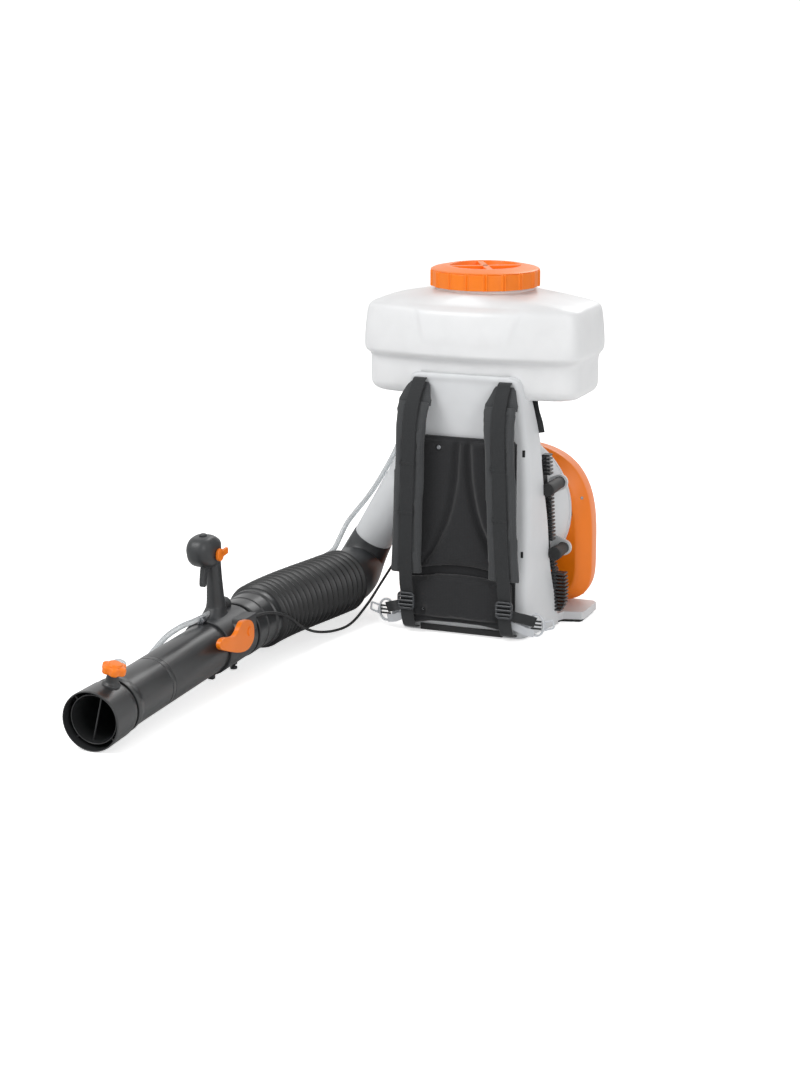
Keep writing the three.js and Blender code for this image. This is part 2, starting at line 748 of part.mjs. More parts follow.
const ductAngle = rad(DUCT_ANGLE_DEG);
const ductRadius = HOUSING_R + DUCT_OUT;
const ductTop = v3(ductRadius * Math.cos(ductAngle), DUCT_Y, FAN_Z + ductRadius * Math.sin(ductAngle));
const ductEnd = ductTop.clone().add(v3(...DUCT_RUN));
const ductWay = ductEnd.clone().sub(ductTop).normalize();
const along = (from, way, length) => from.clone().addScaledVector(way, length).toArray();

const housingDepth = HOUSING_SPLIT_Y - HOUSING_FRONT_Y;
const earY = HOUSING_SPLIT_Y - 28;
function makeHousingFront() {
  const form = [
    [HOUSING_FRONT_Y, 40],
    [HOUSING_FRONT_Y + housingDepth * 0.22, 27],
    [HOUSING_FRONT_Y + housingDepth * 0.86, 3],
    [HOUSING_SPLIT_Y, 0],
  ];
  const outside = form.map(([y, inset]) => housingRing(y, (a) => scrollRadius(a) - inset));
  const inside = form.map(([y, inset], i) =>
    housingRing(i === 0 ? y + HOUSING_WALL : y, (a) => scrollRadius(a) - inset - HOUSING_WALL),
  );
  const mouth = [
    housingRing(HOUSING_FRONT_Y, () => INLET_R),
    housingRing(HOUSING_FRONT_Y + HOUSING_WALL, () => INLET_R),
  ];
  const shell = skin([mouth[0], ...outside, ...inside.reverse(), mouth[1]], true);
  const sleeve = bar(ductTop.toArray(), along(ductEnd, ductWay, -GAP), DUCT_R, 16);
  const bore = bar(along(ductTop, ductWay, -6), along(ductEnd, ductWay, 5), DUCT_R - DUCT_WALL, 16);
  const ears = buffers.map(([, x, z]) => {
    const reach = Math.hypot(x, z - FAN_Z) + earHalf;
    return box([reach - EAR_ROOT_R, EAR_THICK, 2 * earHalf], [mix(EAR_ROOT_R, reach, 0.5), earY, 0])
      .rotateY(-Math.atan2(z - FAN_Z, x))
      .translate(0, 0, FAN_Z);
  });
  return cut(join(shell, sleeve, ...ears), bore);
}
add("fan_housing_front", makeHousingFront(), castAlloy);

const bearingR = SHAFT_R + RUN;
function makeHousingRear() {
  const outline = new THREE.Shape(
    ring(HOUSING_SIDES, (step) => {
      const radius = scrollRadius(step + scrollEnd);
      return v2(radius * Math.cos(step + scrollEnd), FAN_Z + radius * Math.sin(step + scrollEnd));
    }),
  );
  const disc = wall(outline, housingRearWall, housingRearWall + HOUSING_WALL);
  const rim = turned(
    closed([
      [HOUSING_R - 4, housingRearWall + 1],
      [HOUSING_R + 3, housingRearWall + 1],
      [HOUSING_R + 3, housingRearWall + 8],
      [HOUSING_R - 4, housingRearWall + 8],
    ]),
    32,
  ).translate(0, 0, FAN_Z);
  const hub = bar([0, housingRearWall, FAN_Z], [0, housingRearWall + 8, FAN_Z], bearingR + 8, 24);
  const hole = bar([0, housingRearWall - 5, FAN_Z], [0, housingRearWall + 12, FAN_Z], bearingR, 24);
  return cut(join(disc, rim, hub), hole);
}
add("fan_housing_rear", makeHousingRear(), castAlloy);

// ------------------------------------------------------------------ intake grille
// A cage between the back plate's flanges, open to the front, its side walls cut by slots.
function makeGrille() {
  const rear = GRILLE_REAR_Y;
  const top = FAN_Z + HOUSING_R - 20;
  const bottom = FAN_Z - HOUSING_R + 4;
  const corner = 60;
  const outline = (inset) => {
    const half = GRILLE_HALF - inset;
    const shape = new THREE.Shape();
    shape.moveTo(-half, bottom + inset);
    shape.lineTo(half, bottom + inset);
    shape.lineTo(half, top - corner);
    shape.quadraticCurveTo(half, top - inset, half - corner, top - inset);
    shape.lineTo(corner - half, top - inset);
    shape.quadraticCurveTo(-half, top - inset, -half, top - corner);
    return shape;
  };
  const frame = wall(outline(0), GRILLE_FRONT_Y, rear);
  const inside = wall(outline(GRILLE_WALL), GRILLE_FRONT_Y - 1, rear + 1);
  const pitch = (top - corner - bottom) / GRILLE_SLOTS;
  const depth = (rear - GRILLE_FRONT_Y) / 2;
  const slots = count(GRILLE_SLOTS - 1).flatMap((i) =>
    [0, 1].map((row) =>
      box(
        [3 * GRILLE_HALF, depth - 6, pitch * 0.55],
        [0, GRILLE_FRONT_Y + depth * (row + 0.5), bottom + pitch * (i + 1)],
      ),
    ),
  );
  const room = skin(
    [
      [HOUSING_FRONT_Y - AIR, 40],
      [HOUSING_FRONT_Y - AIR + housingDepth * 0.22, 27],
      [HOUSING_SPLIT_Y, 0],
    ].map(([y, inset]) => housingRing(y, (a) => scrollRadius(a) - inset + AIR)),
  );
  const ductRoom = bar(ductTop.toArray(), ductEnd.toArray(), DUCT_R + AIR, 12);
  return cut(frame, inside, room, ductRoom, ...slots);
}
add("intake_grille", makeGrille(), blackPolymer);

for (const [name, x, z] of buffers) {
  const front = earRear(z) + GAP;
  const rear = earY - EAR_THICK / 2 - GAP;
  const profile = [
    [0, front],
    [BUFFER_R - 2, front],
    [BUFFER_R, mix(front, rear, 0.5)],
    [BUFFER_R - 2, rear],
    [0, rear],
  ];
  add(`buffer_${name}`, turned(profile, 14).translate(x, 0, z), rubber);
}

// ------------------------------------------------------------------ fan and crankshaft
const onAxis = (geometry) => geometry.translate(0, 0, FAN_Z);
const fanRear = HOUSING_SPLIT_Y - AIR;
const fanBack = fanRear - 4;
function makeFan() {
  const hub = [
    [bearingR, fanRear],
    [FAN_R, fanRear],
    [FAN_R, fanBack],
    [SHAFT_R * 3, fanBack - 3],
    [SHAFT_R * 2, fanRear - FAN_DEPTH],
    [bearingR, fanRear - FAN_DEPTH],
  ];
  const blade = (i) => {
    const shape = new THREE.Shape();
    const inner = v2(INLET_R * 0.72, 0);
    const outer = v2(FAN_R - 1, -FAN_R * 0.28);
    shape.moveTo(inner.x, inner.y);
    shape.quadraticCurveTo(FAN_R * 0.85, FAN_R * 0.06, outer.x, outer.y);
    shape.lineTo(outer.x - 1, outer.y - 4);
    shape.quadraticCurveTo(FAN_R * 0.85, FAN_R * 0.01, inner.x, inner.y - 4);
    const made = wall(shape, fanRear - FAN_DEPTH, fanBack + 1);
    return made.rotateY((2 * Math.PI * i) / FAN_BLADES);
  };
  return onAxis(join(turned(closed(hub), 24), ...count(FAN_BLADES).map(blade)));
}
add("fan_wheel", makeFan(), castAlloy);

const caseFront = housingRearWall + 8 + GAP;
const caseRear = caseFront + CASE_LENGTH;
const crankMiddle = mix(caseFront, caseRear, 0.5);
function makeCrankshaft() {
  const front = crankMiddle - CRANK_WEB_GAP / 2;
  const rear = crankMiddle + CRANK_WEB_GAP / 2;
  const shaftFront = bar([0, fanRear - FAN_DEPTH - 4, 0], [0, front, 0], SHAFT_R, 12);
  const shaftRear = bar([0, rear, 0], [0, caseRear + STARTER_DEPTH - 10, 0], SHAFT_R, 12);
  const webs = [
    [front - CRANK_WEB_THICK, front],
    [rear, rear + CRANK_WEB_THICK],
  ].map(([a, b]) => bar([0, a, 0], [0, b, 0], CRANK_WEB_R, 16));
  const pin = bar([0, front - 2, CRANK_THROW], [0, rear + 2, CRANK_THROW], CRANK_PIN_R, 10);
  return onAxis(join(shaftFront, shaftRear, ...webs, pin));
}
add("crankshaft", makeCrankshaft(), steel);

// ------------------------------------------------------------------ engine
const crownZ = FAN_Z + CRANK_THROW + ROD_LENGTH + PISTON_CROWN;
const boreClear = BORE_R + GAP;
const cylinderFoot = FAN_Z + CASE_R + 1;
function makeCrankcase() {
  const shell = onAxis(
    turned(
      closed([
        [bearingR, caseFront],
        [CASE_R, caseFront],
        [CASE_R, caseRear],
        [bearingR, caseRear],
        [bearingR, caseRear - CASE_WALL],
        [CASE_R - CASE_WALL, caseRear - CASE_WALL],
        [CASE_R - CASE_WALL, caseFront + CASE_WALL],
        [bearingR, caseFront + CASE_WALL],
      ]),
      20,
    ),
  );
  const deck = box([1.6 * FIN_HALF_WIDTH, CASE_LENGTH - 4, 12], [0, crankMiddle, cylinderFoot - 6]);
  const openingAt = (z) => [0, crankMiddle, z];
  const opening = bar(openingAt(FAN_Z + CRANK_WEB_R), openingAt(cylinderFoot + 2), boreClear, 16);
  const [roomFront, roomRear] = [caseFront + CASE_WALL, caseRear - CASE_WALL];
  const room = bar([0, roomFront, 0], [0, roomRear, 0], CASE_R - CASE_WALL - 0.2, 20);
  return cut(join(shell, deck), opening, onAxis(room));
}
add("crankcase", makeCrankcase(), castAlloy);

const cylinderBottom = cylinderFoot + GAP;
const headZ = crownZ + RUN;
const headTop = headZ + HEAD_THICK;
function makeCylinder() {
  const finPitch = (headTop - cylinderBottom - 8) / FINS;
  const fins = count(FINS).map((i) =>
    box(
      [2 * FIN_HALF_WIDTH, 2 * FIN_HALF_DEPTH, finPitch * 0.45],
      [0, 0, cylinderBottom + 10 + i * finPitch],
    ),
  );
  const foot = box([1.4 * FIN_HALF_WIDTH, 2 * FIN_HALF_DEPTH, 5], [0, 0, cylinderBottom + 2.5]);
  const barrel = bar([0, 0, cylinderBottom], [0, 0, headTop], BORE_R + 4.5, 16);
  const bore = bar([0, 0, cylinderBottom - 1], [0, 0, headZ], boreClear, 16);
  const plugHole = bar([0, 0, headZ - 1], [0, 0, headTop + 1], PLUG_R, 12);
  return cut(join(barrel, foot, ...fins), bore, plugHole).translate(0, crankMiddle, 0);
}
add("cylinder", makeCylinder(), castAlloy);

function makePiston() {
  const skirt = crownZ - PISTON_HEIGHT;
  const profile = [
    [0, crownZ],
    [BORE_R, crownZ],
    [BORE_R, skirt],
    [BORE_R - 3, skirt],
    [BORE_R - 3, crownZ - 5],
    [0, crownZ - 5],
  ];
  const pin = bar([2 - BORE_R, crankMiddle, crownZ - 13], [BORE_R - 2, crankMiddle, crownZ - 13], 5, 8);
  return join(upright(profile, 16).translate(0, crankMiddle, 0), pin);
}
add("piston", makePiston(), castAlloy);

function makePlug() {
  const profile = [
    [0, headZ + 1],
    [PLUG_R - GAP, headZ + 1],
    [PLUG_R - GAP, headTop + GAP],
    [PLUG_R + 3, headTop + GAP],
    [PLUG_R + 3, headTop + 7],
    [PLUG_R - 1, headTop + 7],
    [PLUG_R - 3, headTop + PLUG_LENGTH * 0.7],
    [0, headTop + PLUG_LENGTH * 0.7],
  ];
  return upright(profile, 12).translate(0, crankMiddle, 0);
}
add("spark_plug", makePlug(), ceramic);

// The exhaust side is on the right, the carburettor and air filter on the left.
const portZ = crownZ - 26;
const mufflerZ = portZ - 16;
const mufflerX = FIN_HALF_WIDTH + GAP + 23;
const muffler = box([46, 50, 48], [mufflerX, crankMiddle, mufflerZ]);
const tailpipeAt = (z) => [mufflerX + 14, crankMiddle, z];
const tailpipe = bar(tailpipeAt(mufflerZ - 42), tailpipeAt(mufflerZ - 20), 8, 12);
add("muffler", join(muffler, tailpipe), steel);

const carbLeft = FIN_HALF_WIDTH + GAP + 34;
function makeCarburettor() {
  const body = box([34, 36, 40], [-FIN_HALF_WIDTH - GAP - 17, crankMiddle, portZ]);
  const flangePlate = box([6, 46, 46], [-FIN_HALF_WIDTH - GAP - 31, crankMiddle, portZ]);
  const throat = bar([-FIN_HALF_WIDTH, crankMiddle, portZ], [-carbLeft - 1, crankMiddle, portZ], 10, 16);
  return cut(join(body, flangePlate), throat);
}
add("carburettor", makeCarburettor(), castAlloy);

const filterThick = 22;
const filterLeft = carbLeft + GAP + filterThick;
const filterZ = portZ - 13;
const filterHeight = 50;
function makeFilter() {
  const pleats = 5;
  const pitch = filterHeight / pleats;
  const outline = count(2 * pleats + 1).map((i) => [
    -filterLeft + (i % 2 ? 5 : 0),
    filterZ - filterHeight / 2 + (i * pitch) / 2,
  ]);
  for (const way of [1, -1]) outline.push([-carbLeft - GAP, filterZ + (way * filterHeight) / 2]);
  return wall(outline, crankMiddle - 24, crankMiddle + 24);
}
add("air_filter", makeFilter(), paper);

// ------------------------------------------------------------------ engine cover and what shows on it
const coverFront = housingRearWall + 8 + GAP;
function coverPoint(angle, y, grow, inset) {
  const lower = Math.sin(angle) < 0;
  const rise = lower ? COVER_DROP : COVER_RISE;
  const [x, z] = superellipse(angle, COVER_HALF * grow - inset, rise * grow - inset, lower ? 5 : 2.9);
  return v3(x, y, COVER_MID_Z + z);
}
const coverDepth = COVER_REAR_Y - coverFront;
const coverForm = [
  [0, 0.86],
  [0.05, 0.91],
  [0.26, 1],
  [0.62, 0.985],
  [0.86, 0.95],
  [1, 0.88],
];
const starterHoleR = STARTER_R + AIR;
const starterHole = (y) =>
  ring(28, (angle) => v3(starterHoleR * Math.cos(angle), y, FAN_Z + starterHoleR * Math.sin(angle)));
const windowTop = filterZ + filterHeight / 2 + AIR;
const windowBottom = filterZ - filterHeight / 2 - AIR;
const windowRight = 1 - carbLeft;
const windowLeft = -filterLeft - 12;
const fillerZ = FUEL_TANK_BOTTOM_Z + FUEL_TANK_HEIGHT * 0.6;
const fillerHoleR = FUEL_NECK_R + 8;
function makeCover() {
  const outer = coverForm.map(([share, grow]) =>
    ring(28, (angle) => coverPoint(angle, coverFront + share * coverDepth, grow, 0)),
  );
  const inner = coverForm.map(([share, grow], i) => {
    const y = coverFront + share * coverDepth - (i === coverForm.length - 1 ? COVER_WALL : 0);
    return ring(28, (angle) => coverPoint(angle, y, grow, COVER_WALL));
  });
  const shell = skin(
    [...outer, starterHole(COVER_REAR_Y), starterHole(COVER_REAR_Y - COVER_WALL), ...inner.reverse()],
    true,
  );
  const filterWindow = box(
    [windowRight - windowLeft, 50, windowTop - windowBottom],
    [mix(windowLeft, windowRight, 0.5), COVER_REAR_Y, mix(windowBottom, windowTop, 0.5)],
  );
  const fillerAt = (y) => [FUEL_NECK_X, y, fillerZ];
  const fillerHole = bar(fillerAt(crankMiddle), fillerAt(COVER_REAR_Y + 9), fillerHoleR, 20);
  const vents = count(VENTS).map((i) =>
    box(
      [VENT_WIDTH, coverDepth * 0.44, VENT_HEIGHT],
      [COVER_HALF / 2, COVER_REAR_Y, windowTop - 10 - VENT_PITCH * i],
    ),
  );
  // A front wall fills the corners between the cover's outline and the fan housing's rim.
  const corner = new THREE.Shape(
    ring(28, (angle) => {
      const point = coverPoint(angle, 0, coverForm[0][1], 1);
      return v2(point.x, Math.min(point.z, FAN_Z - 10));
    }),
  );
  const rimHole = bar([0, 0, FAN_Z], [0, COVER_REAR_Y, FAN_Z], HOUSING_R + 5, 48);
  const frontWall = cut(wall(corner, coverFront, coverFront + COVER_WALL), rimHole);
  return cut(join(shell, frontWall), filterWindow, fillerHole, ...vents);
}
add("engine_cover", makeCover(), orangePolymer);

function makeFilterCover() {
  const size = [windowRight - windowLeft - 2 * RUN, FILTER_COVER_DEPTH, windowTop - windowBottom - 2 * RUN];
  const at = [mix(windowLeft, windowRight, 0.5), COVER_REAR_Y - 4, mix(windowBottom, windowTop, 0.5)];
  const lid = box(size, at);
  const room = box([size[0] - 5, size[1], size[2] - 5], [at[0], at[1] - 3, at[2]]);
  return cut(lid, room);
}
add("filter_cover", makeFilterCover(), blackPolymer);

const fuelTankFront = coverFront + 0.26 * coverDepth;
const fuelTankRear = fuelTankFront + FUEL_TANK_DEPTH;
function fuelOutline(inset) {
  const half = FUEL_TANK_HALF - inset;
  const low = FUEL_TANK_BOTTOM_Z + inset;
  const high = FUEL_TANK_BOTTOM_Z + FUEL_TANK_HEIGHT - inset;
  return [
    [-half, low + 14],
    [14 - half, low],
    [half - 14, low],
    [half, low + 14],
    [half, high - 8],
    [half - 8, high],
    [8 - half, high],
    [-half, high - 8],
  ];
}
const neckRear = COVER_REAR_Y + 6;
function makeFuelTank() {
  const body = wall(fuelOutline(0), fuelTankFront, fuelTankRear);
  const neckAt = (y) => [FUEL_NECK_X, y, fillerZ];
  const neck = bar(neckAt(fuelTankRear - 2), neckAt(neckRear), FUEL_NECK_R, 24);
  const room = wall(fuelOutline(FUEL_WALL), fuelTankFront + FUEL_WALL, fuelTankRear - FUEL_WALL);
  const throat = bar(
    [FUEL_NECK_X, fuelTankRear - 10, fillerZ],
    [FUEL_NECK_X, neckRear + 2, fillerZ],
    FUEL_NECK_R - FUEL_WALL,
    24,
  );
  return cut(join(body, neck), room, throat);
}
add("fuel_tank", makeFuelTank(), clearPolymer);

function makeFuelCap() {
  const skirtFront = neckRear - 11;
  const profile = [
    [0, neckRear + 8],
    [FUEL_NECK_R + 3, neckRear + 8],
    [FUEL_NECK_R + 5, neckRear + 6],
    [FUEL_NECK_R + 5, skirtFront],
    [FUEL_NECK_R + 0.8, skirtFront],
    [FUEL_NECK_R + 0.8, neckRear + GAP],
    [0, neckRear + GAP],
  ];
  const grip = box([2 * FUEL_NECK_R, 8, 7], [0, neckRear + 10, 0]);
  return join(turned(profile, 24), grip).translate(FUEL_NECK_X, 0, fillerZ);
}
add("fuel_cap", makeFuelCap(), orangePolymer);

// The recoil starter closes the rear of the crankcase; its grip parks at the lower right.
const starterFront = caseRear + GAP;
const starterRear = starterFront + STARTER_DEPTH + 8;
const gripOutX = STARTER_R - 4;
const ropeHoleR = 5;
const ropeZ = FAN_Z - 12;
function makeStarter() {
  const profile = [
    [CASE_R, starterFront],
    [STARTER_R, starterFront],
    [STARTER_R, starterRear - 8],
    [STARTER_R - 8, starterRear],
    [0, starterRear],
    [0, starterRear - 3],
    [STARTER_R - 10, starterRear - 3],
    [STARTER_R - 3, starterRear - 10],
    [STARTER_R - 3, starterFront + 3],
    [CASE_R, starterFront + 3],
  ];
  const shell = onAxis(turned(closed(profile), 20));
  const ropeAt = (x) => [x, starterRear - 12, ropeZ];
  const bush = bar(ropeAt(gripOutX - 6), ropeAt(gripOutX + 8), 8, 10);
  const ropeHole = bar(ropeAt(gripOutX - 20), ropeAt(gripOutX + 10), ropeHoleR, 10);
  return cut(join(shell, bush), ropeHole);
}
add("starter_housing", makeStarter(), blackPolymer);

function makeStarterGrip() {
  const from = gripOutX + 8 + GAP;
  const y = starterRear - 12;
  const stem = bar([from, y, ropeZ], [from + 18, y, ropeZ], 7, 12);
  const handle = skin(
    [
      [-27, 5, 6],
      [-20, 8, 9],
      [0, 8, 10],
      [20, 8, 9],
      [27, 5, 6],
    ].map(([up, halfX, halfY]) =>
      ring(12, (a) => v3(from + 19 + halfX * Math.cos(a), y + halfY * Math.sin(a), ropeZ + up)),
    ),
  );
  return join(stem, handle);
}
add("starter_grip", makeStarterGrip(), blackPolymer);

// ------------------------------------------------------------------ elbow and bellows
// The blow tube's own frame: Y runs back along its axis from the front of the nozzle, Z is up.
const tube = new THREE.Group();
tube.position.set(...NOZZLE_AT);
tube.rotation.set(rad(TUBE_RISE_DEG), 0, -rad(TUBE_TURN_DEG), "ZXY");
group.add(tube);
tube.updateMatrixWorld(true);

const elbowStart = v3(...along(ductEnd, ductWay, 0));
const elbowEnd = v3(...ELBOW_END);
const bellowsFront = tube.localToWorld(v3(0, CUFF_END + GAP, 0));
const bellowsWay = bellowsFront.clone().sub(elbowEnd).normalize();
const elbowCurve = new THREE.CubicBezierCurve3(
  elbowStart,
  elbowStart.clone().addScaledVector(ductWay, 72),
  elbowEnd.clone().addScaledVector(bellowsWay, -68),
  elbowEnd,
);
const elbowOuter = (t) => mix(DUCT_R + 1, ELBOW_END_R, Math.min(1, t * 1.15));
add("outlet_elbow", pipe(elbowCurve, 7, 16, elbowOuter, (t) => elbowOuter(t) - ELBOW_WALL), blackPolymer);

// The bellows runs from the elbow's end, square to it, to the cuff's end, square to the tube.
const bellowsRear = v3(...along(elbowEnd, bellowsWay, GAP));
const tubeWay = v3(0, -1, 0).transformDirection(tube.matrixWorld);
const bellowsCurve = new THREE.CubicBezierCurve3(
  bellowsRear,
  bellowsRear.clone().addScaledVector(bellowsWay, 90),
  bellowsFront.clone().addScaledVector(tubeWay, -90),
  bellowsFront,
);
const bellowsLength = bellowsCurve.getLength();

// Half of the ribs of the bellows: each rib is a root ring and a crest ring.
function makeBellows(from, to) {
  const ribs = BELLOWS_RIBS / 2;
  const hoop = (share, radius) => {
    const t = mix(from, to, share);
    const unit = bellowsCurve.getTangentAt(t);
    const flat = v3(0, 0, 1).addScaledVector(unit, -unit.z).normalize();
    const third = v3(0, 0, 0).crossVectors(unit, flat);
    return ring(BELLOWS_SIDES, (angle) =>
      bellowsCurve
        .getPointAt(t)
        .addScaledVector(flat, radius * Math.cos(angle))
        .addScaledVector(third, radius * Math.sin(angle)),
    );
  };
  const rings = [hoop(0, BELLOWS_ROOT_R)];
  for (let rib = 0; rib < ribs; rib++) {
    rings.push(hoop((rib + 0.5) / ribs, BELLOWS_R));
    rings.push(hoop((rib + 1) / ribs, BELLOWS_ROOT_R));
  }
  const bores = count(3).map((i) => hoop(1 - i / 2, BELLOWS_ROOT_R - BELLOWS_WALL));
  return skin([...rings, ...bores], true);
}
const halfGap = GAP / 2 / bellowsLength;
add("bellows_rear", makeBellows(0, 0.5 - halfGap), rubber);
add("bellows_front", makeBellows(0.5 + halfGap, 1), rubber);

// ------------------------------------------------------------------ blow tube
const onTube = (name, geometry, material) => add(name, geometry, material, tube);
const tubeInner = TUBE_R - TUBE_WALL;

// The cuff joins the bellows to the rear tube: the bellows grips its rear spigot from outside.
function makeCuff() {
  const profile = [
    [tubeInner, CUFF_START],
    [CUFF_R - 1, CUFF_START],
    [CUFF_R, CUFF_START + 3],
    [CUFF_R, CUFF_END - 18],
    [CUFF_R + 3, CUFF_END - 16],
    [CUFF_R + 3, CUFF_END - 6],
    [BELLOWS_ROOT_R, CUFF_END - 4],
    [BELLOWS_ROOT_R, CUFF_END],
    [tubeInner, CUFF_END],
  ];
  return turned(closed(profile), 20);
}
onTube("tube_cuff", makeCuff(), blackPolymer);

const rearTubeEnd = CUFF_START - GAP;
const spigotR = tubeInner - GAP;
const spigotStart = TUBE_SEAM - SPIGOT_LENGTH;
function makeRearTube() {
  const profile = [
    [spigotR - TUBE_WALL, spigotStart],
    [spigotR, spigotStart],
    [spigotR, TUBE_SEAM + GAP],
    [TUBE_R, TUBE_SEAM + GAP],
    [TUBE_R, rearTubeEnd],
    [tubeInner, rearTubeEnd],
    [tubeInner, TUBE_SEAM + 8],
    [spigotR - TUBE_WALL, TUBE_SEAM + 4],
  ];
  return turned(closed(profile), 20);
}
onTube("blow_tube_rear", makeRearTube(), blackPolymer);

const frontTubeStart = NOZZLE_LENGTH - 22;
function makeFrontTube() {
  const flangeR = TUBE_R + 2.6;
  const profile = [
    [tubeInner, frontTubeStart],
    [TUBE_R - GAP, frontTubeStart],
    [TUBE_R - GAP, NOZZLE_LENGTH + 6],
    [flangeR, NOZZLE_LENGTH + 6],
    [flangeR, NOZZLE_LENGTH + 16],
    [TUBE_R, NOZZLE_LENGTH + 26],
    [TUBE_R, TUBE_SEAM],
    [tubeInner, TUBE_SEAM],
  ];
  return turned(closed(profile), 20);
}
onTube("blow_tube_front", makeFrontTube(), blackPolymer);

// The nozzle: an outer shell with a liner ring held inside its mouth by four ribs.
function makeNozzle() {
  const outerBore = NOZZLE_R - 2.2;
  const shell = turned(
    closed([
      [outerBore, 0],
      [NOZZLE_R - 0.6, 0],
      [NOZZLE_R, 2],
      [NOZZLE_R - 1.5, NOZZLE_LENGTH - 4],
      [NOZZLE_R - 3, NOZZLE_LENGTH],
      [TUBE_R + GAP, NOZZLE_LENGTH],
      [TUBE_R + GAP, frontTubeStart - 4],
      [outerBore - 0.6, frontTubeStart - 6],
    ]),
    24,
  );
  const liner = turned(
    closed([
      [NOZZLE_LINER_R - 1.8, NOZZLE_LINER_SETBACK],
      [NOZZLE_LINER_R, NOZZLE_LINER_SETBACK],
      [NOZZLE_LINER_R, frontTubeStart - 2],
      [NOZZLE_LINER_R - 1.8, frontTubeStart - 2],
    ]),
    16,
  );
  const ribs = [0.25, 0.75, 1.25, 1.75].map((turn) =>
    box([outerBore - NOZZLE_LINER_R + 2.5, frontTubeStart - NOZZLE_LINER_SETBACK - 8, 3], [
      mix(NOZZLE_LINER_R, outerBore, 0.5),
      mix(NOZZLE_LINER_SETBACK, frontTubeStart, 0.5),
      0,
    ]).rotateY(Math.PI * turn),
  );
  const needle = bar([0, METER_AT - 26, NOZZLE_LINER_R - 1], [0, METER_AT - 26, 1 - NOZZLE_LINER_R], 1.6, 8)
    .rotateY(rad(METER_TILT_DEG));
  return join(shell, liner, ...ribs, needle);
}
onTube("nozzle", makeNozzle(), blackPolymer);

// The metering valve sits on the nozzle in a saddle, and its knob turns on top. Their own frame is
// the tube's, turned round the tube's axis.
const meter = new THREE.Group();
meter.rotation.y = rad(METER_TILT_DEG);
tube.add(meter);
meter.updateMatrixWorld(true);
const meterFoot = NOZZLE_R - 0.4;
const meterTop = meterFoot + METER_RISE;
const inletZ = meterTop - 8;
const inletY = METER_AT + METER_R + 14;
const knobBottom = meterTop + GAP;
function makeMeter() {
  const post = skin(
    [
      [meterFoot, METER_R + 4],
      [meterFoot + 4, METER_R],
      [meterFoot + 9, METER_R - 1],
      [meterTop, METER_R - 2],
    ].map(([z, r]) => ring(14, (a) => v3(r * Math.cos(a), METER_AT + r * Math.sin(a), z))),
  );
  const inlet = bar([0, METER_AT + METER_R - 4, inletZ], [0, inletY, inletZ], 4, 10);
  const stem = bar([0, METER_AT, meterTop - 1], [0, METER_AT, meterTop + KNOB_THICK * 0.6], 4, 10);
  return join(post, inlet, stem);
}
add("metering_valve", makeMeter(), blackPolymer, meter);

function makeKnob() {
  const outline = ring(KNOB_LOBES * 4, (angle) => {
    const wave = 0.5 + 0.5 * Math.cos(angle * KNOB_LOBES);
    const radius = KNOB_R - 4 * (1 - wave);
    return v2(radius * Math.cos(angle), radius * Math.sin(angle));
  });
  const body = slab(new THREE.Shape(outline), knobBottom, knobBottom + KNOB_THICK);
  const crown = upright(
    [
      [0, knobBottom + KNOB_THICK - 1],
      [KNOB_R * 0.6, knobBottom + KNOB_THICK - 1],
      [KNOB_R * 0.5, knobBottom + KNOB_THICK + 3],
      [0, knobBottom + KNOB_THICK + 3],
    ],
    12,
  );
  const socket = bar([0, 0, knobBottom - 1], [0, 0, meterTop + KNOB_THICK * 0.6 + GAP], 4 + RUN, 10);
  return cut(join(body, crown), socket).translate(0, METER_AT, 0);
}
add("metering_knob", makeKnob(), orangePolymer, meter);

// ------------------------------------------------------------------ handle clamp and spray valve
const clampBore = TUBE_R + GAP;
const clampTop = VALVE_UP + VALVE_R;
const footTop = clampTop + 20;
function makeClamp() {
  const ringBody = turned(
    closed([
      [clampBore, CLAMP_START],
      [CLAMP_R, CLAMP_START],
      [CLAMP_R, CLAMP_END],
      [clampBore, CLAMP_END],
    ]),
    20,
  );
  const valve = bar([-24, VALVE_AT, VALVE_UP], [VALVE_REACH, VALVE_AT, VALVE_UP], VALVE_R, 18);
  const blockRear = CLAMP_END - 6;
  const blockHeight = VALVE_R + 10;
  const block = box(
    [VALVE_REACH + 22, blockRear - VALVE_AT, blockHeight],
    [(VALVE_REACH - 22) / 2, mix(VALVE_AT, blockRear, 0.5), clampTop - blockHeight / 2],
  );
  // The foot slopes from the grip forward to the front of the ring.
  const foot = skin(
    [
      [clampTop - 12, 27, 40, 17],
      [clampTop, 24, 34, 13],
      [clampTop + 10, 18, 26, 6],
      [footTop, 15, 19, 0],
    ].map(([z, halfX, halfY, forward]) =>
      ring(16, (a) => {
        const [x, y] = superellipse(a, halfX, halfY, 3);
        return v3(GRIP_X + x, GRIP_AT - forward + y, z);
      }),
    ),
  );
  const lugs = [CLAMP_START + 8, CLAMP_END - 12].map((y) => box([12, 10, 12], [4, y, -CLAMP_R - 3]));
  const inside = bar([0, CLAMP_START - 9, 0], [0, CLAMP_END + 9, 0], clampBore, 20);
  const [hoseFrom, hoseTo] = [0, 1].map((end) => hoseWay.map((ends) => ends[end]));
  const hoseBore = bar(hoseFrom, hoseTo, HOSE_R + AIR, 16);
  return cut(join(ringBody, valve, block, foot, ...lugs), inside, hoseBore);
}
onTube("handle_clamp", makeClamp(), blackPolymer);

// The lever turns on the valve's end. Its finger points forward along the tube.
function makeLever() {
  const left = VALVE_REACH + GAP;
  const plate = web(LEVER_OUTLINE, left, left + LEVER_THICK);
  const boss = bar([left, 0, 0], [left + LEVER_THICK + 2, 0, 0], 9, 16);
  return join(plate, boss).translate(0, VALVE_AT, VALVE_UP);
}
onTube("valve_lever", makeLever(), orangePolymer);

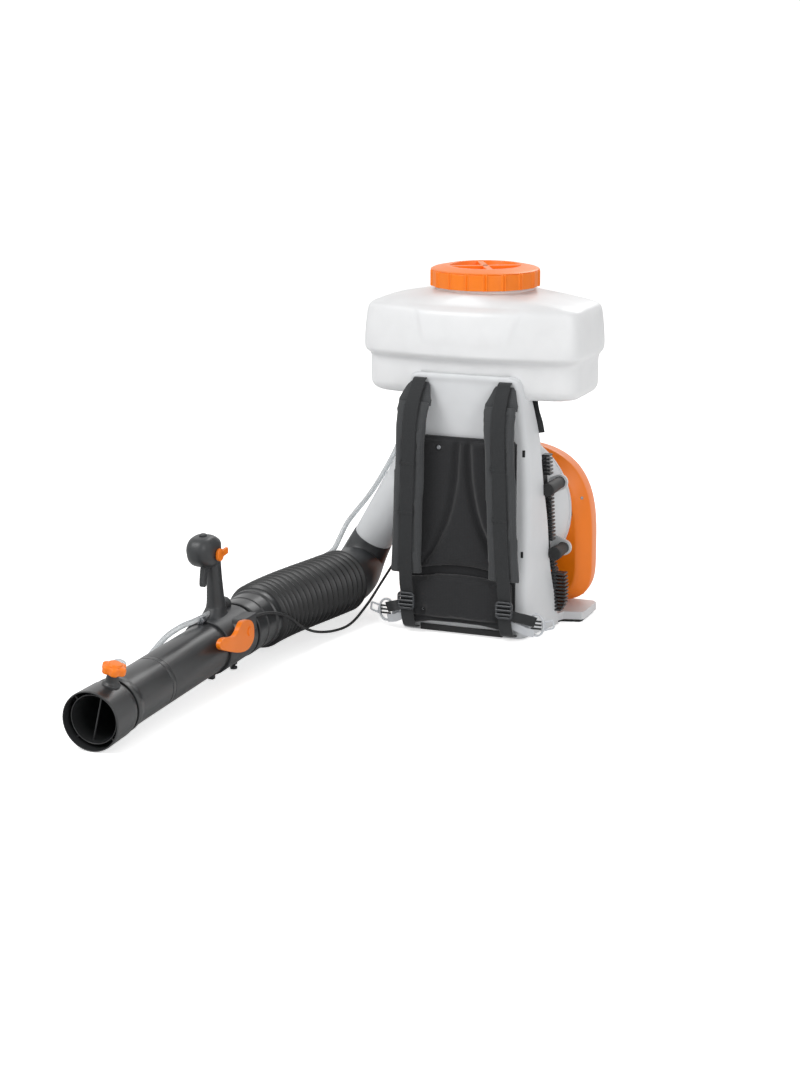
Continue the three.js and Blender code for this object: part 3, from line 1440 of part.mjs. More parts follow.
// ------------------------------------------------------------------ control handle
// The handle's own frame: Z runs up the grip, and the grip leans forward.
const handle = new THREE.Group();
handle.position.set(GRIP_X, GRIP_AT, footTop + GAP);
handle.rotation.x = rad(GRIP_LEAN_DEG);
tube.add(handle);
const onHandle = (name, geometry, material) => add(name, geometry, material, handle);
const headBottom = GRIP_HEIGHT - HEAD_HEIGHT;
const headSide = HEAD_WIDTH / 2;
const triggerTop = headBottom + 8;
const pocketWidth = TRIGGER_WIDTH + 2 * RUN;
const buttonY = -HEAD_FORWARD;
const leverY = 6 - HEAD_FORWARD;
const leverZ = headBottom + 0.42 * HEAD_HEIGHT;
function makeHandle() {
  const level = (z, halfX, halfY, y, exponent = 2.6) =>
    ring(16, (a) => {
      const [x, along] = superellipse(a, halfX, halfY, exponent);
      return v3(x, y + along, z);
    });
  const grip = skin([
    level(-8, 17, 20, 0),
    level(8, 14, 18, 0),
    level(headBottom * 0.4, 12.5, 17, 0),
    level(headBottom * 0.75, 11.5, 16, 0),
    level(headBottom + 6, 12, 16, -1),
    level(headBottom + 20, 14, 17, -4),
  ]);
  // Levels of the head: share of its height, of its width, of its length, and how far forward.
  const head = skin(
    [
      [0, 0.5, 0.36, 0.5],
      [0.17, 0.86, 0.76, 0.82],
      [0.42, 0.98, 0.97, 0.97],
      [0.68, 1, 1, 1],
      [0.85, 0.9, 0.82, 1.1],
      [1, 0.6, 0.46, 1.18],
    ].map(([up, wide, long, forward]) =>
      level(
        headBottom + up * HEAD_HEIGHT,
        headSide * wide,
        (HEAD_LENGTH / 2) * long,
        -HEAD_FORWARD * forward,
        2.8,
      ),
    ),
  );
  const pocketDepth = 38;
  const pocket = box([pocketWidth, pocketDepth, 22], [0, -15 - pocketDepth / 2, triggerTop - 5]);
  const buttonHole = bar([0, buttonY, GRIP_HEIGHT - 9], [0, buttonY, GRIP_HEIGHT + 9], BUTTON_R + RUN, 12);
  const leverAt = (x) => [x, leverY, leverZ];
  const leverHole = bar(leverAt(headSide - 9), leverAt(HEAD_WIDTH), LEVER_SHAFT_R + RUN, 12);
  const cutFoot = box([80, 90, 40], [0, 0, -20]).rotateX(-rad(GRIP_LEAN_DEG));
  return cut(join(grip, head), pocket, buttonHole, leverHole, cutFoot);
}
onHandle("control_handle", makeHandle(), blackPolymer);

// The trigger pivots at its top, inside the pocket.
function makeTrigger() {
  const outline = [
    [-16, triggerTop + 3],
    [-34, triggerTop + 3],
    [-40, triggerTop - 4],
    [-47, triggerTop + 5 - TRIGGER_LENGTH],
    [-46, triggerTop - TRIGGER_LENGTH],
    [-38, triggerTop - TRIGGER_LENGTH],
    [-31, triggerTop - TRIGGER_LENGTH / 2],
    [-18, triggerTop - 8],
  ];
  return web(outline, -TRIGGER_WIDTH / 2, TRIGGER_WIDTH / 2);
}
onHandle("throttle_trigger", makeTrigger(), blackPolymer);

const buttonBottom = GRIP_HEIGHT - 5;
const stopButton = upright(
  [
    [0, buttonBottom],
    [BUTTON_R, buttonBottom],
    [BUTTON_R, GRIP_HEIGHT + 1.5],
    [BUTTON_R - 2, GRIP_HEIGHT + 3.5],
    [0, GRIP_HEIGHT + 3.5],
  ],
  12,
).translate(0, buttonY, 0);
onHandle("stop_button", stopButton, blackPolymer);

function makeSettingLever() {
  const face = headSide + RUN;
  const shaft = bar([face - 8, leverY, leverZ], [face + 4, leverY, leverZ], LEVER_SHAFT_R, 12);
  const plate = bar([face, leverY, leverZ], [face + 6, leverY, leverZ], 11, 14);
  const tab = box([6, 28, 12], [face + 3, leverY + 14, leverZ]);
  return join(shaft, plate, tab);
}
onHandle("setting_lever", makeSettingLever(), orangePolymer);

// ------------------------------------------------------------------ tank outlet, hoses and cable
function makeOutlet() {
  const nutTop = TANK_FLOOR_Z - GAP;
  const profile = [
    [0, TANK_FLOOR_Z + TANK_WALL],
    [OUTLET_R - RUN, TANK_FLOOR_Z + TANK_WALL],
    [OUTLET_R - RUN, nutTop],
    [OUTLET_R + 6, nutTop],
    [OUTLET_R + 6, nutTop - 10],
    [HOSE_R, nutTop - 12],
    [HOSE_R, OUTLET_BOTTOM_Z],
    [0, OUTLET_BOTTOM_Z],
  ];
  return upright(profile, 12).translate(outletX, TANK_Y, 0);
}
add("tank_outlet", makeOutlet(), blackPolymer);

// The spray hose is one line in three pieces. It lies on the upper left of the duct and the elbow
// and behind the bellows, passes through the clamp's foot and ends on the metering valve.
const beside = (middle, radius, way) =>
  middle.clone().addScaledVector(v3(...way).normalize(), radius + HOSE_R + AIR).toArray();
const onDuct = (share) => beside(ductTop.clone().lerp(ductEnd, share), DUCT_R, [-0.857, -0.22, 0.47]);
const onElbow = (t) => beside(elbowCurve.getPointAt(t), BELLOWS_R - 8, [-0.78, -0.12, 0.62]);
const round = (degrees) => [Math.cos(rad(degrees)), 0, Math.sin(rad(degrees))];
const onBellows = (share, degrees) =>
  beside(bellowsCurve.getPointAt(share), BELLOWS_R + 1, round(degrees));
const inTube = (...point) => tube.localToWorld(v3(...point)).toArray();
const onBlowTube = (y, radius, degrees) => inTube(...beside(v3(0, y, 0), radius, round(degrees)));
const sprayLine = path([
  [outletX, TANK_Y, OUTLET_BOTTOM_Z - GAP],
  [outletX, TANK_Y, OUTLET_BOTTOM_Z - 18],
  onDuct(0.12),
  onDuct(0.6),
  onElbow(0.1),
  onElbow(0.55),
  onBellows(0, 150),
  onBellows(0.3, 163),
  onBellows(0.7, 169),
  onBellows(1, 170),
  onBlowTube(CUFF_START + 60, CUFF_R + 3, 169),
  onBlowTube(CUFF_START + 33, CUFF_R + 3, 154),
  onBlowTube(CUFF_START + 8, CUFF_R + 3, 129),
  onBlowTube(CUFF_START - 13, CUFF_R + 1, 108),
  ...[0, 0.5, 1].map((share) => inTube(...hoseWay.map(([from, to]) => mix(from, to, share)))),
  onBlowTube(CLAMP_START - 24, TUBE_R + 3, 104),
  onBlowTube(CLAMP_START - 49, TUBE_R + 3, 121),
  onBlowTube(CLAMP_START - 76, TUBE_R + 3, 145),
  onBlowTube(CLAMP_START - 108, TUBE_R + 1, 164),
  onBlowTube(CLAMP_START - 145, TUBE_R, 173),
  onBlowTube(NOZZLE_LENGTH + 155, TUBE_R, 174),
  onBlowTube(NOZZLE_LENGTH + 126, TUBE_R + 1, 168),
  onBlowTube(NOZZLE_LENGTH + 100, TUBE_R + 4, 153),
  onBlowTube(NOZZLE_LENGTH + 75, TUBE_R + 8, 128),
  ...[
    [-19, 39, -1],
    [-5.5, 21, 1],
    [-0.5, 8, 0.3],
    [0, 2.4, 0],
  ].map(([x, behind, up]) => meter.localToWorld(v3(x, inletY + behind, inletZ + up)).toArray()),
]);
// The share of the line's length at which it passes a place along Y.
function shareAtY(curve, y) {
  const share = count(400).findIndex((i) => curve.getPointAt(i / 400).y < y) / 400;
  return share;
}
const stretch = (curve, from, to, steps) =>
  path(count(steps + 1).map((i) => curve.getPointAt(mix(from, to, i / steps)).toArray()));
const hoseCuts = [bellowsRear.y - 2, bellowsFront.y + 2].map((y) => shareAtY(sprayLine, y));
const hoseGap = 1.2 / sprayLine.getLength();
const hoses = [
  ["spray_hose_rear", 0, hoseCuts[0] - hoseGap, 20],
  ["spray_hose_mid", hoseCuts[0] + hoseGap, hoseCuts[1] - hoseGap, 12],
  ["spray_hose_front", hoseCuts[1] + hoseGap, 1, 20],
];
for (const [name, from, to, steps] of hoses)
  add(name, cord(stretch(sprayLine, from, to, steps), HOSE_R, steps), hosePolymer);

// The pressure hose takes air from the fan housing's crown to the tank's floor.
const crownAngle = rad(112);
const onCrown = (rise) => {
  const radius = scrollRadius(crownAngle) + rise;
  return [radius * Math.cos(crownAngle), HOUSING_SPLIT_Y - 12, FAN_Z + radius * Math.sin(crownAngle)];
};
const pressureTop = [PRESSURE_X, PRESSURE_Y, TANK_FLOOR_Z - GAP];
const pressureHose = path([
  pressureTop,
  [PRESSURE_X, PRESSURE_Y, TANK_FLOOR_Z - 30],
  onCrown(34),
  onCrown(3),
]);
add("pressure_hose", cord(pressureHose, HOSE_R, 10), hosePolymer);

// The throttle cable leaves the clamp's block, droops behind the tube and rises to the elbow.
add("throttle_cable", cord(path(CABLE_POINTS), CABLE_R, CABLE_STEPS), rubber);

// ------------------------------------------------------------------ pads
const padRear = PLATE_FRONT_Y - GAP;
// Two curved channels part the back pad: half their spacing, from the bottom of the pad to the top.
const channelHalf = [86, 78, 62, 47, 38, 31, 26, 22, 18, 15];
function makeBackPad() {
  const levels = channelHalf.length;
  const rings = channelHalf.map((channel, i) => {
    const z = mix(PAD_BOTTOM_Z, PAD_TOP_Z, i / (levels - 1));
    const last = i === 0 || i === levels - 1;
    const thick = PAD_THICK * (last ? 0.45 : 1);
    const half = PAD_HALF - (last ? 6 : 0);
    const right = [
      [half, 0.1],
      [half, 0.45],
      [half - 7, 0.8],
      [mix(channel, half, 0.5), 0.95],
      [channel + 8, 0.85],
      [channel, 0.55],
      [channel - 8, 0.85],
      [0, 1],
    ];
    const left = right.slice(0, -1).map(([x, share]) => [-x, share]);
    return [...right, ...left.reverse()].map(([x, share]) => v3(x, padRear - thick * share, z));
  });
  const backOf = (point) => v3(point.x, padRear, point.z);
  return skin(rings.map((points) => [backOf(points[0]), ...points, backOf(points.at(-1))]));
}
add("back_pad", makeBackPad(), padCloth);

// The lumbar pad has an arched top and a roll along its bottom.
function makeLumbarPad() {
  const columns = count(11).map((i) => mix(-1, 1, i / 10));
  const rings = columns.map((share) => {
    const x = share * LUMBAR_HALF;
    const top = PAD_BOTTOM_Z - GAP - 1 - LUMBAR_ARCH * share * share;
    const edge = Math.abs(share) === 1 ? 0.4 : 1;
    const profile = [
      [0, LUMBAR_BOTTOM_Z + 2],
      [0.55, LUMBAR_BOTTOM_Z],
      [0.9, LUMBAR_BOTTOM_Z + 4],
      [0.95, LUMBAR_BOTTOM_Z + 9],
      [0.6, LUMBAR_BOTTOM_Z + 14],
      [0.82, LUMBAR_BOTTOM_Z + 20],
      [1, mix(LUMBAR_BOTTOM_Z, top, 0.5)],
      [0.9, top - 10],
      [0.5, top - 2],
      [0, top],
    ];
    return profile.map(([out, z]) => v3(x, padRear - LUMBAR_THICK * edge * out, z));
  });
  return skin(rings);
}
add("lumbar_pad", makeLumbarPad(), padCloth);

// ------------------------------------------------------------------ shoulder straps and webbing
// Centre line of a strap pad from its top: [y, z], leaning outwards on the way down.
const strapLine = [
  [-139, 471],
  [-156, 450],
  [-172, 410],
  [-174, 300],
  [-172, 180],
  [-166, 118],
];
const [strapTopZ, strapFootZ] = [strapLine[0][1], strapLine.at(-1)[1]];
const strapX = (z) => mix(STRAP_FOOT_X, STRAP_TOP_X, (z - strapFootZ) / (strapTopZ - strapFootZ));
const strapCurve = path(strapLine.map(([y, z]) => [strapX(z), y, z]));
const acrossStrap = v3(1, 0, 0);
const outOfStrap = (t) => v3(0, 0, 0).crossVectors(acrossStrap, strapCurve.getTangentAt(t)).normalize();

// A flat ribbon along points: each is its middle, the way its face looks, its width and thickness.
function ribbon(stations, sides, exponent) {
  return skin(
    stations.map(({ at, out, width, thick }) =>
      ring(sides, (step) => {
        const [u, v] = superellipse(step + Math.PI / sides, width / 2, thick / 2, exponent);
        return at.clone().addScaledVector(acrossStrap, u).addScaledVector(out, v);
      }),
    ),
  );
}

function makeStrap() {
  const stations = count(STRAP_STATIONS).map((i) => {
    const t = i / (STRAP_STATIONS - 1);
    const end = i === 0 || i === STRAP_STATIONS - 1;
    const stitched = i === 6 || i === 11;
    return {
      at: strapCurve.getPointAt(t),
      out: outOfStrap(t),
      width: end ? STRAP_WIDTH * 0.5 : STRAP_WIDTH,
      thick: STRAP_THICK * (end ? 0.6 : stitched ? 0.8 : 1),
    };
  });
  return ribbon(stations, 12, 3.2);
}

// A four-sided superellipse of exponent 8 keeps this share of its size.
const SQUARE_SHARE = Math.SQRT1_2 ** 0.25;

// The webbing comes through the upper slot, runs down the strap's face and ends in the lower slot.
const webbingLift = -(STRAP_THICK / 2 + WEBBING_THICK / 2 + 1);
const buckleY = strapLine.at(-1)[0];
function makeWebbing() {
  const slotY = PLATE_FRONT_Y + PLATE_THICK - 1;
  const strapTop = strapCurve.getPointAt(0).addScaledVector(outOfStrap(0), webbingLift);
  const points = [
    v3(STRAP_TOP_X, slotY, STRAP_SLOT_Z),
    v3(STRAP_TOP_X, PLATE_FRONT_Y - 3, STRAP_SLOT_Z),
    v3(STRAP_TOP_X, mix(PLATE_FRONT_Y, strapTop.y, 0.7), mix(STRAP_SLOT_Z, strapTop.z, 0.4)),
    ...[0.01, 0.06, 0.12, 0.19, 0.31, 0.44, 0.56, 0.69, 0.81, 0.93, 1].map((t) =>
      strapCurve.getPointAt(t).addScaledVector(outOfStrap(t), webbingLift),
    ),
    v3(STRAP_FOOT_X, buckleY - 5, BUCKLE_Z + 34),
    v3(STRAP_FOOT_X, buckleY, BUCKLE_Z + 15),
    v3(STRAP_FOOT_X, buckleY, BUCKLE_Z - 15),
    v3(STRAP_FOOT_X, buckleY + 7, BUCKLE_Z - 38),
    v3(STRAP_FOOT_X, PLATE_FRONT_Y - 20, WEBBING_FOOT_Z + 5),
    v3(STRAP_FOOT_X, PLATE_FRONT_Y - 6, WEBBING_FOOT_Z),
    v3(STRAP_FOOT_X, slotY, WEBBING_FOOT_Z),
  ];
  const stations = points.map((at, i) => {
    const before = points[Math.max(0, i - 1)];
    const after = points[Math.min(points.length - 1, i + 1)];
    const tangent = after.clone().sub(before);
    const out = v3(0, 0, 0).crossVectors(acrossStrap, tangent).normalize();
    return { at, out, width: WEBBING_WIDTH / SQUARE_SHARE, thick: WEBBING_THICK / SQUARE_SHARE };
  });
  return ribbon(stations, 4, 8);
}
// A ladder buckle: a frame with a bar across its middle and two cheeks beside the webbing.
function makeBuckle() {
  const front = buckleY - 3.6;
  const frame = box([BUCKLE_WIDTH, 3.4, BUCKLE_HEIGHT], [0, front, 0]);
  const windows = [-1, 1].map((way) => box([BUCKLE_WIDTH - 9, 9, 8], [0, front, way * 7]));
  const cheekX = BUCKLE_WIDTH / 2 - 1.3;
  const cheeks = [-1, 1].map((way) => box([2.6, 8, BUCKLE_HEIGHT - 4], [way * cheekX, front + 2, 0]));
  return cut(join(frame, ...cheeks), ...windows).translate(STRAP_FOOT_X, 0, BUCKLE_Z);
}

// A ring hook beside the plate's foot, with a tongue that lies on the plate.
function makeHook() {
  const flat = [HOOK_RING * 1.25, HOOK_RING];
  const oval = new THREE.Shape(ring(16, (a) => v2(flat[0] * Math.cos(a), flat[1] * Math.sin(a))));
  const plate = wall(oval, -4, 0);
  const hole = box([2 * flat[0] - 16, 20, 2 * flat[1] - 15], [0, 0, 0]);
  const tongue = box([16, 4, 14], [-flat[0] - 4, -2, 0]);
  return cut(join(plate, tongue), hole);
}
const hookX = PLATE_BOTTOM_HALF + HOOK_RING * 1.25 + 4;
const hook = makeHook().rotateY(rad(14)).translate(hookX, PLATE_FRONT_Y - GAP, HOOK_Z);
const pieces = [
  ["shoulder_strap", makeStrap(), strapCloth],
  ["webbing", makeWebbing(), strapCloth],
  ["buckle", makeBuckle(), buckleGrey],
  ["strap_hook", hook, hookGrey],
];
for (const [name, geometry, material] of pieces) {
  add(`${name}_right`, geometry, material);
  add(`${name}_left`, outward(geometry.clone().scale(-1, 1, 1)), material);
}

export default group;
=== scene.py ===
import json
import math

import bmesh
import bpy
from mathutils import Matrix, Vector

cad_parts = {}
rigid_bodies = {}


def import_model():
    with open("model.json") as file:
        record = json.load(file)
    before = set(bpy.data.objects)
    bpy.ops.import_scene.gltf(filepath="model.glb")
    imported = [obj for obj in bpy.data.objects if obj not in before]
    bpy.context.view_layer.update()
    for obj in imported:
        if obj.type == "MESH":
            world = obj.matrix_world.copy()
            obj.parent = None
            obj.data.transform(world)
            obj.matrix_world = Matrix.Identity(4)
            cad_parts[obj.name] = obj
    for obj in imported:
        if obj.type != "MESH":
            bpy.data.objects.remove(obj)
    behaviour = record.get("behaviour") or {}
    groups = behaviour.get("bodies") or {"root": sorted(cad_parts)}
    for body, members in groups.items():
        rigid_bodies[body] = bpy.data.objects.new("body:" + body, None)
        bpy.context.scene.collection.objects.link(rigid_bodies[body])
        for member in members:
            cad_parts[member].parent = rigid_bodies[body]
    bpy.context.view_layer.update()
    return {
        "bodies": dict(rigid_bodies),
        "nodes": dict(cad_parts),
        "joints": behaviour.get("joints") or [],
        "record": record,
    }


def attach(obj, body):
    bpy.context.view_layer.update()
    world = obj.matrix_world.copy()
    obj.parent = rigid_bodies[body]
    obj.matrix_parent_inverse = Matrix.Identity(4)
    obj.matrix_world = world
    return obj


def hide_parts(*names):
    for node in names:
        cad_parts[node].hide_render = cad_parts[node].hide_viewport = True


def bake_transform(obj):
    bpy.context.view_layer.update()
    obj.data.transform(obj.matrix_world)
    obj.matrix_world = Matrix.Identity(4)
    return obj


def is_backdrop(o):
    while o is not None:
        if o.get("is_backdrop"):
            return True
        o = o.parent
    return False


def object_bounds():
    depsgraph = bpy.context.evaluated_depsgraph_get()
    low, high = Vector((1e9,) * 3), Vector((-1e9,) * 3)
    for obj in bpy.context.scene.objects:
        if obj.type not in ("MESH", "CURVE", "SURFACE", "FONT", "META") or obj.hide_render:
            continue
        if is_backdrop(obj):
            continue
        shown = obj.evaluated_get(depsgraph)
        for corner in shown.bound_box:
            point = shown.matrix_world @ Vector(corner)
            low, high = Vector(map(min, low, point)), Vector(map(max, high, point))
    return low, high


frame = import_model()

# ---------------------------------------------------------------- camera
# The blower is seen from its pad side, a little from the right and from above,
# through a long lens, so that the blow tube points forward to the lower left.
camera = bpy.data.objects.new("camera", bpy.data.cameras.new("camera"))
camera.location = (1.4894, -4.1459, 1.2170)
camera.rotation_euler = (math.radians(76.58), 0, math.radians(21.9))
camera.data.lens = 79.87
camera.data.sensor_width = 36
bpy.context.collection.objects.link(camera)
bpy.context.scene.camera = camera


# ---------------------------------------------------------------- throttle cable
# A steel wire in a black PVC sheath, 5 mm across. It leaves the block behind the grip,
# droops beside the bellows and climbs past the elbow to the carburettor.
def shell(rings, looped=False):
    """Points and faces through rings of equal length: capped at both ends, or closed on itself."""
    sides = len(rings[0])
    points = [point for ring in rings for point in ring]
    faces = []
    for row in range(len(rings) if looped else len(rings) - 1):
        here, there = row * sides, (row + 1) % len(rings) * sides
        for i in range(sides):
            j = (i + 1) % sides
            faces.append((here + i, here + j, there + j, there + i))
    if not looped:
        faces.append(tuple(reversed(range(sides))))
        faces.append(tuple(range(len(points) - sides, len(points))))
    return points, faces


def smooth_line(points, steps):
    """A centripetal spline through places in millimetres, with steps between each two."""
    places = [Vector(point) for point in points]
    places = [2 * places[0] - places[1], *places, 2 * places[-1] - places[-2]]
    line = []
    for a, b, c, d in zip(places, places[1:], places[2:], places[3:]):
        at_b = (b - a).length ** 0.5
        at_c = at_b + (c - b).length ** 0.5
        at_d = at_c + (d - c).length ** 0.5
        for step in range(steps):
            t = at_b + (at_c - at_b) * step / steps
            ab = a.lerp(b, t / at_b)
            bc = b.lerp(c, (t - at_b) / (at_c - at_b))
            cd = c.lerp(d, (t - at_c) / (at_d - at_c))
            early = ab.lerp(bc, t / at_c)
            late = bc.lerp(cd, (t - at_b) / (at_d - at_b))
            line.append(early.lerp(late, (t - at_b) / (at_c - at_b)))
    return [*line, places[-2]]


def hoops(line, radii, sides):
    """Rings round a line, one at each of its points, that don't twist along it."""
    rings, across = [], None
    for i, at in enumerate(line):
        way = (line[min(i + 1, len(line) - 1)] - line[max(i - 1, 0)]).normalized()
        across = way.orthogonal() if across is None else across
        across = (across - way * across.dot(way)).normalized()
        other = way.cross(across)
        turns = [2 * math.pi * k / sides for k in range(sides)]
        rings.append([at + radii[i] * (across * math.cos(a) + other * math.sin(a)) for a in turns])
    return rings


def piece(name, shape, material, body=None, stands_for=(), edge=0.0, sharp=40):
    """A mesh from points in millimetres on a body of the frame, in place of solids of the frame.

    edge is the radius, in millimetres, that its sharp edges are rounded to."""
    points, faces = shape
    mesh = bpy.data.meshes.new(name)
    mesh.from_pydata([Vector(point) / 1000 for point in points], [], faces)
    work = bmesh.new()
    work.from_mesh(mesh)
    bmesh.ops.recalc_face_normals(work, faces=work.faces)
    work.to_mesh(mesh)
    work.free()
    mesh.materials.append(material)
    mesh.shade_smooth()
    made = bpy.data.objects.new(name, mesh)
    bpy.context.collection.objects.link(made)
    if edge:
        soften(made, edge)
    else:
        mesh.set_sharp_from_angle(angle=math.radians(sharp))
    if body:
        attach(made, body)
    if stands_for:
        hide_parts(*([stands_for] if isinstance(stands_for, str) else stands_for))
    return made


def soften(obj, radius):
    """Rounds an object's sharp edges to a radius in millimetres, as a mould does."""
    bevel = obj.modifiers.new("rounded edges", "BEVEL")
    bevel.width = radius / 1000
    bevel.segments = 3
    bevel.limit_method = "ANGLE"
    bevel.angle_limit = math.radians(32)
    bevel.use_clamp_overlap = True
    bevel.harden_normals = True


def hexed(colour):
    """A colour from its sRGB hex value, as the linear red, green and blue that shaders use."""
    parts = [int(colour[i : i + 2], 16) / 255 for i in (1, 3, 5)]
    return (*[c / 12.92 if c <= 0.04045 else ((c + 0.055) / 1.055) ** 2.4 for c in parts], 1)


def node(tree, kind, inputs=None, **settings):
    """Adds a node: its settings, then its inputs, which are values or other nodes' outputs."""
    made = tree.nodes.new("ShaderNode" + kind)
    for name, value in settings.items():
        setattr(made, name, value)
    for name, value in (inputs or {}).items():
        if isinstance(value, bpy.types.NodeSocket):
            tree.links.new(value, made.inputs[name])
        else:
            made.inputs[name].default_value = value
    return made


def surface(name, slot, **inputs):
    """A new material with its Principled shader's own sockets set, and the slot it stands for."""
    material = bpy.data.materials.new(name)
    material.use_nodes = True
    material["slot"] = slot
    tree = material.node_tree
    shader = tree.nodes["Principled BSDF"]
    for socket, value in inputs.items():
        shader.inputs[socket.replace("_", " ")].default_value = value
    where = node(tree, "TexCoord").outputs["Object"]
    return material, tree, shader, where


def grained(material, tree, shader, where, colour, grain_mm, relief_mm, roughness, spread=0.05):
    """Gives a moulded surface its spark-eroded grain, and the faint flow marks of its colour."""
    light = hexed(colour)
    dark = (*[c * 0.9 for c in light[:3]], 1)
    flow = node(tree, "TexNoise", {"Vector": where, "Scale": 1000 / 45, "Detail": 2.0})
    tint = node(tree, "Mix", {0: flow.outputs[0], 6: dark, 7: light}, data_type="RGBA")
    tree.links.new(tint.outputs[2], shader.inputs["Base Color"])
    grain = node(tree, "TexNoise", {"Vector": where, "Scale": 1000 / grain_mm, "Detail": 3.0})
    gloss = node(
        tree,
        "MapRange",
        {"Value": grain.outputs[0], "To Min": roughness - spread, "To Max": roughness + spread},
    )
    tree.links.new(gloss.outputs[0], shader.inputs["Roughness"])
    bump = node(
        tree, "Bump", {"Height": grain.outputs[0], "Distance": relief_mm / 1000, "Strength": 0.6}
    )
    tree.links.new(bump.outputs[0], shader.inputs["Normal"])
    return material


# Plasticised PVC, extruded: black with a low sheen, drawn slightly wavy along its length.
pvc_sheath = grained(
    *surface("extruded PVC, black", "black_rubber", IOR=1.53),
    colour="#1B1C1D",
    grain_mm=4,
    relief_mm=0.1,
    roughness=0.5,
)

CABLE_THICK = 5
cable_points = [
    (-257.9, -492.5, 102.2),
    (-251.6, -470.1, 102),
    (-245.2, -438, 96),
    (-238.8, -407.7, 85.1),
    (-235, -386, 74),
    (-233, -345, 48),
    (-226, -300, 27),
    (-214, -240, 14),
    (-204, -185, 14),
    (-197, -120, 36),
    (-194, -56, 64),
    (-184, 7, 104),
    (-164, 40, 152),
    (-159.5, 55, 170),
    (-159.5, 65.2, 172),
]
# Where the bellows meets the elbow, its middle, and where it meets the cuff, in metres.
BELLOWS_REAR = (-0.2590, -0.0953, 0.0720)
BELLOWS_MIDDLE = (-0.2840, -0.2436, 0.0728)
BELLOWS_FRONT = (-0.3006, -0.3931, 0.0715)


def flexing_cord(name, line, thick, material, stands_for):
    """A cord's length between two bodies, drawn at its real thickness as a fixed mesh on no body.
    """
    made = piece(name, shell(hoops(line, [thick / 2] * len(line), 12)), material)
    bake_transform(made)
    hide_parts(*stands_for)
    return made


cable_line = smooth_line(cable_points, 8)
half = 7 * 8
flexing_cord(
    "throttle_cable_front",
    cable_line[: half + 1],
    CABLE_THICK,
    pvc_sheath,
    ["throttle_cable"],
)
flexing_cord(
    "throttle_cable_rear",
    cable_line[half:],
    CABLE_THICK,
    pvc_sheath,
    ["throttle_cable"],
)

# ---------------------------------------------------------------- spray and pressure hoses
# Clear soft PVC hose, 10 mm across. The spray hose runs from the tank's outlet down the duct,
# behind the bellows, through the clamp's foot and along the tube to the metering valve.
# Clear PVC: half see-through and glossy, so that the hose is pale against the black parts.
clear_pvc, *_ = surface(
    "extruded soft PVC, clear",
    "hose_polymer",
    Base_Color=hexed("#E4E8EA"),
    Roughness=0.12,
    IOR=1.52,
    Transmission_Weight=0.55,
)
HOSE_THICK = 10
spray_points = [
    (-150, -16.5, 423.7),
    (-153.3, -13.7, 394),
    (-164.2, -4.6, 366.6),
    (-176.6, 3.5, 339.5),
    (-190.1, 7.4, 312.2),
    (-204.5, 7.5, 285),
    (-219.8, 6.4, 258.3),
    (-236.3, 5.9, 232.2),
    (-254.9, 8.5, 208),
    (-274.6, 11.5, 184.6),
    (-292.8, 8.8, 159.6),
    (-300.8, -6.6, 135),
    (-304.2, -29.8, 115.2),
    (-310.7, -58.5, 107.7),
    (-317.3, -88.6, 107.2),
    (-324.3, -118.2, 103),
    (-331.4, -147.7, 97.8),
    (-338.2, -177.4, 93.4),
    (-344.3, -207.3, 90.6),
    (-350.1, -237.6, 88.8),
    (-355.5, -267.9, 87.5),
    (-360.1, -298.3, 86.3),
    (-364.2, -328.7, 85.2),
    (-367.7, -359.3, 84.4),
    (-368.8, -390.2, 83.6),
    (-361, -419.4, 82.1),
    (-356.5, -446.5, 95.8),
    (-343.8, -468.5, 113),
    (-324.3, -489.6, 123.3),
    (-312, -517, 121.8),
    (-312, -547.8, 120.3),
    (-312.2, -578.5, 118.8),
    (-314.8, -609.1, 118.3),
    (-328.5, -635.7, 113),
    (-344.6, -658.5, 100.1),
    (-353.8, -683, 84.3),
    (-356.8, -710.8, 71.8),
    (-357.2, -740.9, 65.6),
    (-357.7, -771.7, 64.4),
    (-358.2, -801.8, 69.6),
    (-355.9, -828.7, 84.2),
    (-345.1, -850.6, 102.6),
    (-324.5, -869.9, 114.9),
    (-303.3, -891.1, 119.3),
    (-292.5, -918.9, 114.7),
]
spray_line = smooth_line(spray_points, 6)
half = 19 * 6
flexing_cord(
    "spray_hose_upper",
    spray_line[: half + 1],
    HOSE_THICK,
    clear_pvc,
    ["spray_hose_rear", "spray_hose_mid"],
)
flexing_cord(
    "spray_hose_lower",
    spray_line[half:],
    HOSE_THICK,
    clear_pvc,
    ["spray_hose_mid", "spray_hose_front"],
)

pressure_points = [
    (-128, 30, 446.7),
    (-130.3, 29.3, 423.7),
    (-114.1, 34.7, 411.7),
    (-92.1, 42.1, 409.6),
    (-74, 46.8, 398.3),
    (-67.1, 46, 376.2),
]
pressure_line = smooth_line(pressure_points, 8)
pressure_hose = piece(
    "pressure_hose_clear",
    shell(hoops(pressure_line, [HOSE_THICK / 2] * len(pressure_line), 12)),
    clear_pvc,
    "frame",
    "pressure_hose",
)

# ---------------------------------------------------------------- base tray, mat and back plate
# One light grey frame of moulded polypropylene: a plate that lies against the back, with two
# flanges and a shelf under the tank, on a foot tray that stands on a rubber mat.
# Moulded light grey: a fine, even grain that spreads its highlights.
light_grey = grained(
    *surface("glass-filled polypropylene, moulded, light grey", "grey_polymer", IOR=1.49),
    colour="#DFE1E3",
    grain_mm=1.6,
    relief_mm=0.06,
    roughness=0.42,
)
# Nitrile rubber: near black and dull, with a coarser grain than the plastics.
moulded_rubber = grained(
    *surface("moulded nitrile rubber, black", "black_rubber", IOR=1.52),
    colour="#1A1B1C",
    grain_mm=2.5,
    relief_mm=0.12,
    roughness=0.62,
)


